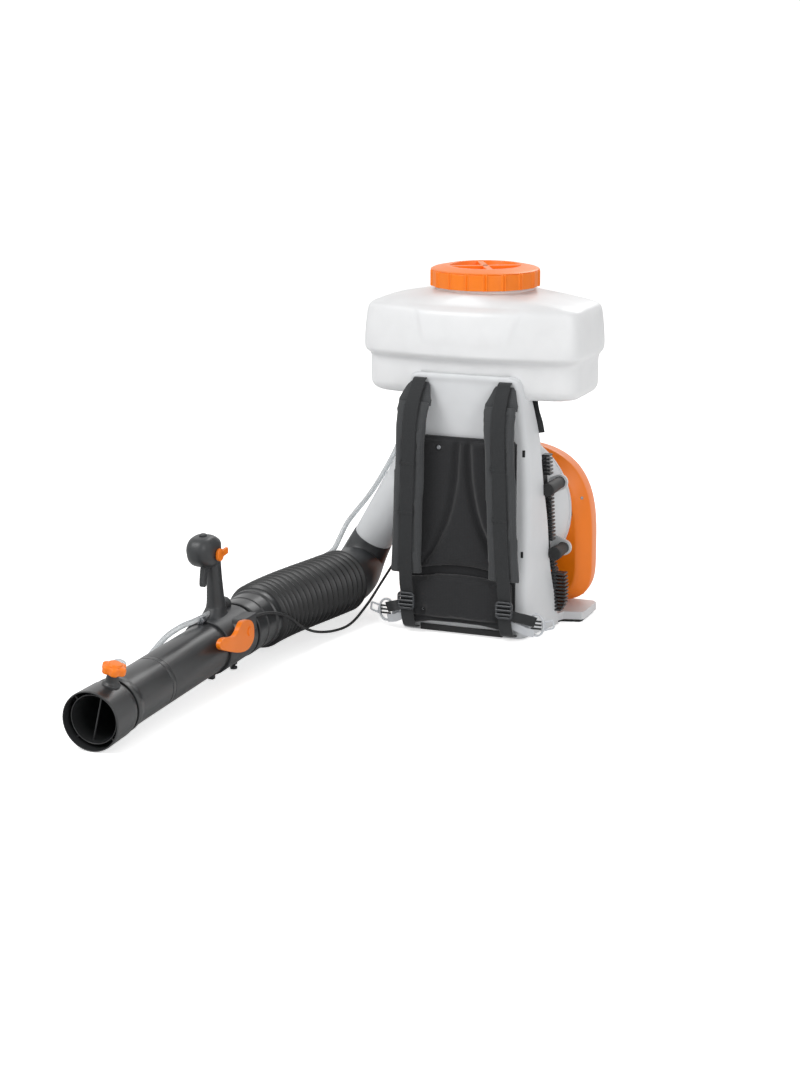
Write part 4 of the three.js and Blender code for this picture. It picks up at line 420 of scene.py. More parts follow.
def dress(material, edge, *nodes):
    """Gives solids of the frame a material, and rounds their edges to a radius in millimetres."""
    for name in nodes:
        solid = frame["nodes"][name]
        solid.data.materials.clear()
        solid.data.materials.append(material)
        soften(solid, edge)


dress(light_grey, 1.8, "base_tray")
dress(moulded_rubber, 0.8, "rubber_mat")


def rounded(profile, steps=4):
    """A profile whose corners are turned into short arcs: (across, along) or with a radius."""
    made = []
    count = len(profile)
    for i, (a, b, *radius) in enumerate(profile):
        if not radius:
            made.append((a, b))
            continue
        corner = Vector((a, b))
        before = Vector(profile[i - 1][:2]) - corner
        after = Vector(profile[(i + 1) % count][:2]) - corner
        reach = min(radius[0], before.length / 2.05, after.length / 2.05)
        start, end = corner + before.normalized() * reach, corner + after.normalized() * reach
        for step in range(steps + 1):
            t = step / steps
            made.append(tuple(start.lerp(corner, t).lerp(corner.lerp(end, t), t)))
    return made


def between(levels, steps):
    """More levels between those given, on a smooth curve through each of their numbers."""
    rows = [levels[0], *levels, levels[-1]]
    made = []
    for a, b, c, d in zip(rows, rows[1:], rows[2:], rows[3:]):
        for step in range(steps):
            t = step / steps
            made.append(
                tuple(
                    0.5
                    * (
                        2 * q
                        + (r - p) * t
                        + (2 * p - 5 * q + 4 * r - s) * t * t
                        + (3 * q - p - 3 * r + s) * t**3
                    )
                    for p, q, r, s in zip(a, b, c, d)
                )
            )
    return [*made, levels[-1]]


def spun(profile, at=(0, 0, 0), axis="Y", sides=72, frame=None, wave=None):
    """A profile of (radius, along) turned round an axis through a place in millimetres.

    wave(angle, radius, along) may change the radius round the axis."""
    frame = frame or Matrix.Identity(4)
    rings = []
    for radius, along in profile:
        ring = []
        for k in range(sides):
            a = 2 * math.pi * k / sides
            r = wave(a, radius, along) if wave else radius
            u, v = r * math.cos(a), r * math.sin(a)
            local = {"X": (along, u, v), "Y": (u, along, v), "Z": (u, v, along)}[axis]
            ring.append(frame @ (Vector(at) + Vector(local)))
        rings.append(ring)
    return shell(rings, looped=True)


def together(*shapes):
    """Several closed shapes as the points and faces of one mesh."""
    points, faces = [], []
    for some_points, some_faces in shapes:
        start = len(points)
        points += some_points
        faces += [tuple(start + i for i in face) for face in some_faces]
    return points, faces


def block(size, at, frame=None):
    """A box of a size round a place, in millimetres."""
    frame = frame or Matrix.Identity(4)
    x, y, z = (s / 2 for s in size)
    rings = [
        [frame @ (Vector(at) + Vector(corner)) for corner in level]
        for level in (
            [(-x, -y, -z), (x, -y, -z), (x, y, -z), (-x, y, -z)],
            [(-x, -y, z), (x, -y, z), (x, y, z), (-x, y, z)],
        )
    ]
    return shell(rings)


def carve(obj, *cutters):
    """Should cut closed shapes out of an object's mesh, for good. As written it cuts nothing.

    The test m is not cut holds for every modifier, the cut's own too, so the cut is switched
    off with the rest. m != cut mends it, but changes shapes."""
    cutter = piece("cutter", together(*cutters), obj.data.materials[0])
    cut = obj.modifiers.new("cut", "BOOLEAN")
    cut.object = cutter
    cut.solver = "EXACT"
    cut.use_self = True
    obj.modifiers.move(len(obj.modifiers) - 1, 0)
    others = {m: m.show_viewport for m in obj.modifiers if m is not cut}
    for modifier in others:
        modifier.show_viewport = False
    bpy.context.view_layer.update()
    cut_mesh = bpy.data.meshes.new_from_object(
        obj.evaluated_get(bpy.context.evaluated_depsgraph_get())
    )
    obj.modifiers.remove(cut)
    obj.data = cut_mesh
    bpy.data.objects.remove(cutter)
    for modifier, shown in others.items():
        modifier.show_viewport = shown


PLATE_FRONT_Y = -130.3
PLATE_FACE_Y, PLATE_THICK, FLANGE_BEND = -130, 4.6, 15
# Height, half width, how far the flange leans out, and how deep it is, from floor to top.
PLATE_LEVELS = [
    (3, 119, 29, 130),
    (47, 121.8, 24, 123),
    (86.5, 124.3, 16, 114),
    (135.6, 126.6, 9, 108),
    (209, 129.1, 4, 100),
    (283, 128.2, 1.5, 84),
    (342, 126, 1, 75),
    (376, 124, 1, 71),
    (445, 114.6, 1, 54),
    (470, 110, 1, 47),
    (481, 108, 1, 44),
    (489, 103, 1, 40),
    (494, 92, 1, 36),
]


def plate_ring(z, half, flare, depth):
    """The plate and its two flanges at one height, with soft bends; its top edge is rolled."""
    face = PLATE_FACE_Y - 2.4 * math.exp(-(((z - 488) / 7) ** 2))
    rear, thick, bend = PLATE_FACE_Y + depth, PLATE_THICK, FLANGE_BEND
    corners = [
        (-half - flare, rear),
        (-half, face, bend),
        (half, face, bend),
        (half + flare, rear),
        (half + flare - thick, rear),
        (half - thick, PLATE_FACE_Y + thick, bend - thick),
        (thick - half, PLATE_FACE_Y + thick, bend - thick),
        (thick - half - flare, rear),
    ]
    return [(x, y, z) for x, y in rounded(corners, steps=8)]


SHELF_BOTTOM, SHELF_TOP = 440.7, 446.7
shelf_plan = [(-109, -128), (109, -128), (109, 46), (79, 76), (-79, 76), (-109, 46)]
shelf = shell([[(x, y, z) for x, y in shelf_plan] for z in (SHELF_BOTTOM, SHELF_TOP)])
gusset = [(-128, 442), (36, 442), (-128, 346)]
gussets = [shell([[(x, y, z) for y, z in gusset] for x in (a, a + 4)]) for a in (83, -87)]
plate = piece(
    "plate_and_flanges",
    shell([plate_ring(*level) for level in between(PLATE_LEVELS, 6)]),
    light_grey,
    "frame",
    "back_plate",
    edge=1.2,
)
# The straps' upper slots. They stay closed, because carve cuts nothing as written.
slots = [block((28, 30, 6.5), (x, -132, 481)) for x in (83, -83)]
carve(plate, *slots)
piece("tank_shelf", together(shelf, *gussets), light_grey, "frame", edge=1.5)
piece("plate_foot_trim", block((164, 3.4, 12), (0, -131.9, 9.6)), moulded_rubber, "frame", edge=1)

# Each buffer is a rubber cone between a bracket on a flange and an ear on the fan housing.
BUFFERS = {
    "right_upper": (137.5, 272.4),
    "right_lower": (146.7, 146.2),
    "left_upper": (-144.3, 195.9),
    "left_lower": (-142.9, 109.9),
}
for name, (x, z) in BUFFERS.items():
    i = next(k for k, level in enumerate(PLATE_LEVELS) if level[0] > z - 12)
    (z0, *low), (z1, *high) = PLATE_LEVELS[i - 1], PLATE_LEVELS[i]
    half, flare, depth = (a + (b - a) * (z - 12 - z0) / (z1 - z0) for a, b in zip(low, high))
    start = PLATE_FACE_Y + depth - 7
    cone = rounded(
        [
            (0.1, start),
            (12.6, start, 2),
            (13, start + 9, 2),
            (11, 18, 1),
            (11.5, 26.6, 1),
            (0.1, 26.6),
        ]
    )
    reach = x - math.copysign(half + flare - 6, x)
    middle = x - reach / 2
    arm = block((abs(reach), 5, 16), (middle, start + 4, z))
    piece(
        f"buffer_cone_{name}",
        spun(cone, (x, 0, z), "Y", 40),
        moulded_rubber,
        "frame",
        f"buffer_{name}",
    )
    piece(f"flange_bracket_{name}", arm, moulded_rubber, "frame", edge=1)

# ---------------------------------------------------------------- liquid tank
# A blow-moulded tank of about 14 litres in milky high-density polyethylene. Its upper body
# overhangs the lower one by a soft step, and its roof slopes down from a wide neck.
# Milky polyethylene: light sinks a little way in and softens the shading at its edges.
milky = grained(
    *surface(
        "high-density polyethylene, blow-moulded, milky",
        "tank_polymer",
        IOR=1.54,
        Subsurface_Weight=0.25,
        Subsurface_Radius=(0.012, 0.012, 0.012),
        Subsurface_Scale=1.0,
    ),
    colour="#F1F2F3",
    grain_mm=6,
    relief_mm=0.12,
    roughness=0.34,
)

TANK_Y = -16.5
CAP_R = 103
TANK_CORNER = 18  # the flat that cuts each upright corner, measured along the end
TANK_SIDES = 320
NECK_R = 92
NECK_BORE = 86
# Height, half width, half depth and roundness of the tank's outside, from its floor to its roof.
TANK_LEVELS = [
    (447, 184, 84, 0),
    (448.5, 193, 92, 0),
    (453, 201, 99, 0),
    (461, 206, 104, 0),
    (472, 207, 106.2, 0),
    (500, 207, 106.2, 0),
    (512, 207, 106.5, 0),
    (518, 207.5, 111, 0),
    (522, 208.5, 120, 0),
    (526, 211, 126, 0),
    (534, 213, 129, 0),
    (560, 212.5, 128, 0),
    (592, 210, 124, 0),
    (607, 207.5, 120.5, 0),
    (613.5, 204, 116, 0.02),
    (618, 195, 110.5, 0.06),
    (623, 176, 107, 0.16),
    (629, 146, 104, 0.42),
    (634.5, 116, 101, 0.8),
    (638, 99, 98, 1),
    (640, 93.5, 93.5, 1),
    (643, NECK_R, NECK_R, 1),
    (664, NECK_R, NECK_R, 1),
]
# The raised panel on the tank's front: half width and height of its lower and upper edges.
PANEL_LOW, PANEL_HIGH = (82, 553), (99, 612)


def oval(angle, half_x, half_y, square):
    """A point on a superellipse: square is 2 for an oval, and more for a rounded oblong."""
    c, s = math.cos(angle), math.sin(angle)
    return (
        half_x * math.copysign(abs(c) ** (2 / square), c),
        half_y * math.copysign(abs(s) ** (2 / square), s),
    )


def tank_ring(z, half_x, half_y, roundness, inset=0):
    """One level: an eight-sided oblong with soft corners that turns round towards the neck."""
    slant = math.atan2(0.23 * half_y, 0.62 * half_x)
    slant_reach = 0.28 * half_x * math.sin(slant) + half_y * math.cos(slant)
    corner_x = half_x - TANK_CORNER
    corner_y = half_y * (1 - 0.23 * (corner_x / half_x - 0.28) / 0.62)
    flats = [
        (0, half_x),
        (math.pi / 2, half_y),
        (math.pi / 2 - slant, slant_reach),
        (math.pi / 4, (corner_x + corner_y) * math.sqrt(0.5)),
    ]
    ring = []
    for k in range(TANK_SIDES):
        a = 2 * math.pi * k / TANK_SIDES
        c, s = abs(math.cos(a)), abs(math.sin(a))
        near = [max(0, c * math.cos(t) + s * math.sin(t)) / d for t, d in flats]
        flat_reach = sum(n**40 for n in near) ** (-1 / 40)
        round_reach = 1 / math.hypot(c / half_x, s / half_y)
        reach = flat_reach + (round_reach - flat_reach) * roundness
        x, y = reach * math.cos(a), reach * math.sin(a)
        if y < 0 and not inset:
            y -= raised_panel(x, z)
        scale = 1 - inset / reach
        ring.append((x * scale, TANK_Y + y * scale, z))
    return ring


def raised_panel(x, z):
    """How far the tapered panel stands out from the tank's front, in millimetres."""
    share = (z - PANEL_LOW[1]) / (PANEL_HIGH[1] - PANEL_LOW[1])
    side = PANEL_LOW[0] + (PANEL_HIGH[0] - PANEL_LOW[0]) * share - abs(x - 6)
    up = 1 / (1 + math.exp(-(z - PANEL_LOW[1]) / 3)) / (1 + math.exp(-(PANEL_HIGH[1] - z) / 2))
    return 3.2 * up / (1 + math.exp(-side / 1.3))


levels = between(TANK_LEVELS, 4)
outside = [tank_ring(*level) for level in levels]
inside = [tank_ring(max(450, level[0]), *level[1:], inset=NECK_R - NECK_BORE) for level in levels]
piece("tank_shell", shell(outside + inside[::-1], looped=True), milky, "frame", "tank")


# ---------------------------------------------------------------- filler cap
# A screw cap in orange polypropylene over the tank's neck: a fluted skirt, a sloping shoulder
# and a dished crown with two crossed grip bars. Its rubber seal lies inside it.
# Moulded orange: saturated and satin, with soft highlights.
orange = grained(
    *surface("polypropylene, moulded, orange", "orange_polymer", IOR=1.49),
    colour="#FF8208",
    grain_mm=2.2,
    relief_mm=0.04,
    roughness=0.36,
    spread=0.04,
)
CAP_BOTTOM, CAP_RIM, CAP_TOP = 646, 675.9, 682.9
CAP_BORE = 93.5
DISH_R = 66
DISH_FLOOR = 673
CAP_FLUTES, FLUTE_DEPTH = 18, 2.6
CAP_BARS_Z, CAP_BARS_TURN, CAP_BAR_WIDE, CAP_BAR_DEEP = 677, 28, 12, 10


def fluted(angle, radius, along):
    """Broad flats between pairs of narrow ribs round the cap's skirt, up to its shoulder."""
    if radius < CAP_R - 4 or along > CAP_RIM + 0.5:
        return radius
    beside_rib = abs((CAP_FLUTES * angle / (2 * math.pi)) % 1 - 0.5)
    rib = math.exp(-(((beside_rib - 0.07) / 0.04) ** 2))
    return radius - FLUTE_DEPTH * (1 - rib)


cap_profile = rounded(
    [
        (0.1, DISH_FLOOR),
        (DISH_R - 2, DISH_FLOOR, 3),
        (DISH_R, CAP_TOP, 1.4),
        (DISH_R + 8, CAP_TOP, 2),
        (CAP_R - 5, CAP_RIM + 2.2, 3),
        (CAP_R, CAP_RIM - 1, 1.6),
        (CAP_R, CAP_BOTTOM, 1.2),
        (CAP_BORE, CAP_BOTTOM),
        (CAP_BORE, 669.9),
        (0.1, 669.9),
    ]
)
turned = (
    Matrix.Translation((0, TANK_Y, CAP_BARS_Z))
    @ Matrix.Rotation(math.radians(CAP_BARS_TURN), 4, "Z")
)
cap_bar_length = 2 * DISH_R + 5
cap_bars = [
    block((cap_bar_length, CAP_BAR_WIDE, CAP_BAR_DEEP), (0, 0, 0), turned),
    block((CAP_BAR_WIDE, cap_bar_length, CAP_BAR_DEEP), (0, 0, 0), turned),
]
piece(
    "filler_cap",
    spun(cap_profile, (0, TANK_Y, 0), "Z", sides=CAP_FLUTES * 24, wave=fluted),
    orange,
    "tank_cap",
    "tank_cap",
    sharp=50,
)
piece("filler_cap_bars", together(*cap_bars), orange, "tank_cap", edge=1.5)
dress(moulded_rubber, 0.5, "cap_seal")

# ---------------------------------------------------------------- strainer and tank outlet
# The strainer is a moulded nylon cup that hangs in the tank's neck; the outlet is a barbed
# fitting of the same nylon, screwed to the tank's floor with a union nut.
# Black glass-filled nylon: a very dark grey with a slightly rough, satin skin.
black_nylon = grained(
    *surface("glass-filled nylon, moulded, black", "black_polymer", IOR=1.53),
    colour="#2E3032",
    grain_mm=1.8,
    relief_mm=0.07,
    roughness=0.4,
)
dress(black_nylon, 0.6, "tank_strainer", "tank_outlet")

# ---------------------------------------------------------------- fan housing and duct
# A spiral housing in two moulded halves of light grey polypropylene. The front half carries the
# duct that leads the air down to the elbow, and the ears for the buffers; the rear has a rim.
FAN_Z = 210
HOUSING_R = 147
SCROLL_END = math.radians(150)
SCROLL_SIDES = 160
HOUSING_FRONT = -25
INLET_R = 70
DUCT_TOP = Vector((-130, 16, 329.1))
DUCT_END = Vector((-240, 16, 134.1))
DUCT_R = 39


def scroll(angle):
    """The housing's radius, which grows towards the outlet at the upper left."""
    share = (angle - SCROLL_END) % (2 * math.pi) / (2 * math.pi)
    early = HOUSING_R - 14 * max(0, 1 - share / 0.5)
    return early + 56 * max(0, (share - 0.62) / 0.38) ** 2


def scroll_ring(y, radius_at):
    """A ring round the fan's axis at one depth, whose radius depends on the angle."""
    ring = []
    for k in range(SCROLL_SIDES):
        a = SCROLL_END + 2 * math.pi * k / SCROLL_SIDES
        ring.append((radius_at(a) * math.cos(a), y, FAN_Z + radius_at(a) * math.sin(a)))
    return ring


housing_form = between(
    [(-25, 42), (-24, 36), (-16, 30.5), (-7, 27), (20, 16), (44, 4), (54, 0.6), (58, 0)], 3
)
outside = [scroll_ring(y, lambda a: scroll(a) - inset) for y, inset in housing_form]
inside = [scroll_ring(max(y, -22), lambda a: scroll(a) - inset - 3) for y, inset in housing_form]
mouth = [scroll_ring(y, lambda a: INLET_R) for y in (HOUSING_FRONT, HOUSING_FRONT + 3)]
housing_shell = shell([mouth[0], *outside, *reversed(inside), mouth[1]], looped=True)


def pipe(line, outer, inner, sides=64):
    """A hollow round pipe along a line, open at both ends."""
    return shell(hoops(line, outer, sides) + hoops(line, inner, sides)[::-1], looped=True)


steps = [0, 0.34, 0.345, 0.4, 0.405, 0.985, 1]
duct_line = [DUCT_TOP.lerp(DUCT_END, t) for t in steps]
duct_radii = [DUCT_R, DUCT_R, DUCT_R - 0.8, DUCT_R - 0.8, DUCT_R, DUCT_R, DUCT_R - 1]
duct = pipe(duct_line, duct_radii, [DUCT_R - 2.5] * len(duct_line))


EAR_Y, EAR_THICK, EAR_R = 30, 6, 15


def ear(x, z):
    """A round ear on the housing's rim, joined to it by a web of the same width."""
    middle = Vector((x, 0, z - FAN_Z))
    way = math.atan2(middle.z, middle.x)
    inward = middle.length - HOUSING_R + 26
    ring = []
    for k in range(25):
        a = way - math.pi / 2 + math.pi * k / 24
        ring.append((x + EAR_R * math.cos(a), z + EAR_R * math.sin(a)))
    for side in (1, -1):
        across = Vector((-math.sin(way), math.cos(way))) * EAR_R * side
        foot = Vector((x, z)) - Vector((math.cos(way), math.sin(way))) * inward + across
        ring.append(tuple(foot))
    faces_y = (EAR_Y - EAR_THICK / 2, EAR_Y + EAR_THICK / 2)
    return shell([[(u, y, w) for u, w in ring] for y in faces_y])


ears = [ear(x, z) for x, z in BUFFERS.values()]
piece(
    "fan_housing_front_shell",
    together(housing_shell, duct, *ears),
    light_grey,
    "frame",
    "fan_housing_front",
)

rim_profile = rounded(
    [
        (HOUSING_R - 4, 59.3),
        (HOUSING_R + 3, 59.3, 1),
        (HOUSING_R + 3, 66.3, 1.5),
        (HOUSING_R - 4, 66.3),
    ]
)
rear_disc = shell([scroll_ring(y, scroll) for y in (58.3, 61.3)])
piece(
    "fan_housing_rear_rim",
    together(rear_disc, spun(rim_profile, (0, 0, FAN_Z), "Y", SCROLL_SIDES)),
    light_grey,
    "frame",
    "fan_housing_rear",
)
dress(black_nylon, 0.6, "intake_grille")

# The grille's toothed side guards: a spine with teeth beside each flange of the plate, and a
# wider slatted guard with a rounded foot below. They leave room for the buffers.
GUARD_LINE = [(330, 122), (284, 125), (226, 128), (168, 131), (111, 136)]
GUARD_Y = -4
TOOTH_TOP, SLAT_TOP, GUARD_PITCH = 330, 104, 7
GUARD_GAP = 17  # what the teeth leave free above and below a buffer


def guard_x(z):
    for (z0, x0), (z1, x1) in zip(GUARD_LINE, GUARD_LINE[1:]):
        if z >= z1:
            return x0 + (x1 - x0) * (z0 - z) / (z0 - z1)
    return GUARD_LINE[-1][1]


def mirrored(shape, side):
    """A shape on the right as it is (1), or mirrored onto the left (-1)."""
    points, faces = shape
    return [(side * point[0], point[1], point[2]) for point in points], faces


for side, hand in ((1, "right"), (-1, "left")):
    near = [z for x, z in BUFFERS.values() if x * side > 0]
    teeth = []
    for i in range(32):
        z = TOOTH_TOP - GUARD_PITCH * i
        if all(abs(z - level) > GUARD_GAP for level in near):
            teeth.append(block((15, 20, 3.6), (guard_x(z), GUARD_Y, z)))
    spine = [(x - 8, z) for z, x in GUARD_LINE]
    edge = [(x - 4.5, z) for z, x in reversed(GUARD_LINE)]
    spine = shell([[(x, y, z) for x, z in [*spine, *edge]] for y in (GUARD_Y - 9, GUARD_Y + 9)])
    slats = []
    for i in range(11):
        z = SLAT_TOP - GUARD_PITCH * i
        right = 160 + 5 * math.sin(math.pi * (z - 20) / 100) - max(0, 52 - z) ** 2 / 60
        slats.append(block((right - 134, 22, 3.6), ((134 + right) / 2, GUARD_Y, z)))
    back = block((8, 18, 84), (141, GUARD_Y, 70))
    piece(
        f"grille_guard_{hand}",
        mirrored(together(*teeth, spine, *slats, back), side),
        black_nylon,
        "frame",
        edge=0.8,
    )

# ---------------------------------------------------------------- fan and engine
# The fan wheel is moulded nylon. Behind it sits a small two-stroke engine: a die-cast case,
# a finned cylinder and a carburettor of alloy, with a crankshaft, piston and muffler of steel.
# Blasted alloy: a bright grey metal without clear reflections.
cast_alloy = grained(
    *surface("aluminium, die-cast and blasted", "cast_alloy", Metallic=1.0),
    colour="#B4B7BA",
    grain_mm=1.2,
    relief_mm=0.05,
    roughness=0.42,
)
# Ground steel: darker and sharper in its reflections than the alloy.
turned_steel = grained(
    *surface("steel, turned and ground", "steel", Metallic=1.0),
    colour="#9A9DA1",
    grain_mm=0.8,
    relief_mm=0.02,
    roughness=0.28,
)
# Glazed ceramic: off-white under a glassy coat.
glazed = grained(
    *surface("alumina ceramic, glazed", "plug_ceramic", IOR=1.6, Coat_Weight=0.6),
    colour="#F2EFE8",
    grain_mm=5,
    relief_mm=0.02,
    roughness=0.18,
)
# Filter paper: a matt straw colour with a fine grain.
pleated = grained(
    *surface("filter paper, pleated", "filter_paper", IOR=1.45),
    colour="#D8CFB4",
    grain_mm=0.9,
    relief_mm=0.1,
    roughness=0.8,
)
dress(black_nylon, 0.6, "fan_wheel")
dress(cast_alloy, 0.6, "crankcase", "cylinder", "carburettor")
dress(turned_steel, 0.5, "crankshaft", "piston", "muffler")
dress(glazed, 0.4, "spark_plug")
dress(pleated, 0.4, "air_filter")

# ---------------------------------------------------------------- engine cover
# One orange shell of moulded polypropylene over the engine. Its front edge follows the fan
# housing's rim, and a front wall closes it there. Only the starter's hole is open in its back:
# the cooling slots, filter window, filler hole and screw pockets below aren't cut, see carve.
COVER_HALF = 184
COVER_MID_Z = 133
COVER_RISE, COVER_DROP = 200, 111
COVER_FRONT, COVER_REAR = 66.6, 158
COVER_DEPTH = COVER_REAR - COVER_FRONT
COVER_WALL = 3
STARTER_HOLE_R = 52
# Share of the cover's depth, share of its full outline.
COVER_FORM = [
    (0, 0.86),
    (0.03, 0.894),
    (0.09, 0.93),
    (0.2, 0.98),
    (0.24, 0.997),
    (0.3, 1),
    (0.45, 0.995),
    (0.62, 0.985),
    (0.78, 0.968),
    (0.88, 0.948),
    (0.94, 0.928),
    (0.985, 0.9),
    (1, 0.88),
]


def cover_ring(share, grow, inset=0, y=None):
    ring = []
    y = COVER_FRONT + share * COVER_DEPTH if y is None else y
    for k in range(144):
        a = 2 * math.pi * k / 144
        rise, square = (COVER_DROP, 5) if math.sin(a) < 0 else (COVER_RISE, 2.9)
        x, z = oval(a, COVER_HALF * grow - inset, rise * grow - inset, square)
        ring.append((x, y, COVER_MID_Z + z))
    return ring


def hole_ring(y, radius):
    turns = [2 * math.pi * k / 144 for k in range(144)]
    return [(radius * math.cos(a), y, FAN_Z + radius * math.sin(a)) for a in turns]


cover_levels = between(COVER_FORM, 2)
outside = [cover_ring(*level) for level in cover_levels]
inside = [
    cover_ring(
        *level, COVER_WALL, min(COVER_FRONT + level[0] * COVER_DEPTH, COVER_REAR - COVER_WALL)
    )
    for level in cover_levels
]
holes = [hole_ring(COVER_REAR, STARTER_HOLE_R), hole_ring(COVER_REAR - COVER_WALL, STARTER_HOLE_R)]
cover = piece(
    "engine_cover_shell",
    shell([*outside, *holes, *reversed(inside)], looped=True),
    orange,
    "frame",
    "engine_cover",
)
vents = [block((50, 40, 6), (92, COVER_REAR, 273 - 13 * i)) for i in range(5)]
filter_window = block((35.3, 50, 54), (-92.95, COVER_REAR, 256))
filler_hole = spun([(0.1, 92), (28, 92), (28, 170), (0.1, 170)], (78, 0, 90.8), "Y")


def ball(radius, at):
    """A ball round a place, for a screw's dished pocket and its domed head."""
    arc = [math.pi * i / 8 for i in range(9)]
    profile = [(max(0.05, radius * math.sin(a)), -radius * math.cos(a)) for a in arc]
    return spun(profile, at, "X", 24)


# Two domed screws on the cover's right side and two more on its left.
COVER_SCREWS = [(167, 81, 233), (168.5, 93, 44)]
POCKET_R, SCREW_R, SCREW_INWARD = 5, 3.8, 0.982
screw_places = [(side * x, y, z) for x, y, z in COVER_SCREWS for side in (1, -1)]
pockets = [ball(POCKET_R, place) for place in screw_places]
carve(cover, filter_window, filler_hole, *vents, *pockets)
cover.data.set_sharp_from_angle(angle=math.radians(40))
corner_wall = [
    [(x, y, min(z, 200)) for x, _, z in cover_ring(0, 0.86, 1.5)]
    for y in (COVER_FRONT + 0.4, COVER_FRONT + 3)
]
# The front wall's round opening for the fan housing isn't cut either.
corners = piece("engine_cover_front_wall", shell(corner_wall), orange, "frame")
carve(corners, spun([(0.1, 40), (152, 40), (152, 90), (0.1, 90)], (0, 0, FAN_Z), "Y", sides=144))

screw_heads = [ball(SCREW_R, (x * SCREW_INWARD, y, z)) for x, y, z in screw_places]
piece("cover_screws", together(*screw_heads), turned_steel, "frame")

dress(black_nylon, 1.5, "filter_cover")
dress(milky, 2.5, "fuel_tank")
dress(orange, 1.0, "fuel_cap")
dress(black_nylon, 1.2, "starter_housing", "starter_grip")

# ---------------------------------------------------------------- elbow and bellows
# The elbow is a smooth bend of moulded nylon. The bellows is a corrugated rubber hose that
# lets the blow tube swing and dip; it is clamped to the elbow and to the tube's cuff.
def bent(a, b, c, d, steps):
    """A line along a cubic Bezier curve."""
    line = []
    for i in range(steps + 1):
        t = i / steps
        near, far = (1 - t), t
        line.append(
            Vector(a) * near**3
            + Vector(b) * 3 * near * near * far
            + Vector(c) * 3 * near * far * far
            + Vector(d) * far**3
        )
    return line


elbow_line = bent(
    (-240, 16, 134.1), (-275.4, 16, 71.4), (-249.6, -27.7, 72.1), (-259, -95, 72), 40
)
elbow_radii = [DUCT_R + 1 + 12 * min(1, 1.15 * i / 40) for i in range(41)]
piece(
    "elbow_bend",
    pipe(elbow_line, elbow_radii, [r - 3 for r in elbow_radii]),
    black_nylon,
    "frame",
    "outlet_elbow",
)

# EPDM rubber: deep black and satin, so that the ribs show by their highlights.
ribbed_rubber = grained(
    *surface("EPDM rubber, moulded, black", "black_rubber", IOR=1.52),
    colour="#101112",
    grain_mm=3,
    relief_mm=0.08,
    roughness=0.36,
)
BELLOWS_RIBS = 18
BELLOWS_CREST, BELLOWS_ROOT, BELLOWS_BORE = 61, 54, 51.6
RIB_STEPS = 12
bellows_line = bent(
    (-259.04, -95.3, 72),
    (-271.5, -184.4, 71.85),
    (-299.4, -303.15, 74.5),
    (-300.6, -393.1, 71.5),
    BELLOWS_RIBS * RIB_STEPS,
)
# A rib's radius over one step of the bellows: a narrow rounded crest, and a wide flat root.
rib = [max(0, math.sin(math.pi * i / RIB_STEPS)) ** 1.3 for i in range(RIB_STEPS)]
bellows_radii = [BELLOWS_ROOT + (BELLOWS_CREST - BELLOWS_ROOT) * r for r in rib] * BELLOWS_RIBS
bellows_radii.append(BELLOWS_ROOT)
middle = BELLOWS_RIBS * RIB_STEPS // 2
for name, first, last, bodies, ends, node_name in (
    (
        "bellows_hose_rear",
        0,
        middle,
        ("frame", "bellows_link"),
        (BELLOWS_REAR, BELLOWS_MIDDLE),
        "bellows_rear",
    ),
    (
        "bellows_hose_front",
        middle,
        2 * middle,
        ("bellows_link", "blow_tube"),
        (BELLOWS_MIDDLE, BELLOWS_FRONT),
        "bellows_front",
    ),
):
    line = bellows_line[first : last + 1]
    radii = bellows_radii[first : last + 1]
    made = piece(
        name, pipe(line, radii, [BELLOWS_BORE] * len(line), sides=96), ribbed_rubber, sharp=80
    )
    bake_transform(made)
    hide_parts(node_name)

# ---------------------------------------------------------------- blow tube
# Two lengths of moulded tube, sleeved together at a seam, with a grooved cuff at the bellows
# end and a wider nozzle whose liner is held by four ribs. A needle crosses the nozzle's mouth.
# Black polypropylene: smoother and glossier than the nylon.
tube_black = grained(
    *surface("polypropylene, moulded, black satin", "black_polymer", IOR=1.49),
    colour="#303132",
    grain_mm=2.4,
    relief_mm=0.035,
    roughness=0.3,
    spread=0.04,
)
TUBE = (
    Matrix.Translation((-308.7, -996, 51.3))
    @ Matrix.Rotation(math.radians(-0.77), 4, "Z")
    @ Matrix.Rotation(math.radians(1.92), 4, "X")
)
TUBE_R, TUBE_BORE = 45.3, 42.9
NOZZLE_R, NOZZLE_LENGTH, LINER_R = 51, 70, 42
SEAM = 209
METER_TILT = 14  # how far the needle and the metering valve lean round the tube, in degrees
CUFF_START, CUFF_END, CUFF_R = 516, 603, 51


def on_tube(name, shape, material=tube_black, stands_for=(), **how):
    """A piece that moves with the blow tube."""
    return piece(name, shape, material, "blow_tube", stands_for, **how)


nozzle_profile = rounded(
    [
        (48.8, 0, 0.8),
        (NOZZLE_R - 0.6, 0, 0.9),
        (NOZZLE_R, 3, 1),
        (NOZZLE_R - 1.5, 63, 2),
        (NOZZLE_R - 3.2, NOZZLE_LENGTH, 2.5),
        (TUBE_R + 0.3, NOZZLE_LENGTH),
        (TUBE_R + 0.3, 44),
        (48.2, 42),
    ]
)
liner_profile = rounded([(40.2, 12, 0.8), (LINER_R, 12, 0.8), (LINER_R, 46), (40.2, 46)])
ribs = [
    block((9.3, 28, 3), (45.4, 30, 0), TUBE @ Matrix.Rotation(math.pi * turn, 4, "Y"))
    for turn in (0.25, 0.75, 1.25, 1.75)
]
needle = spun(
    [(0.1, -41), (1.6, -41), (1.6, 41), (0.1, 41)],
    (0, 26, 0),
    "Z",
    sides=16,
    frame=TUBE @ Matrix.Rotation(math.radians(METER_TILT), 4, "Y"),
)
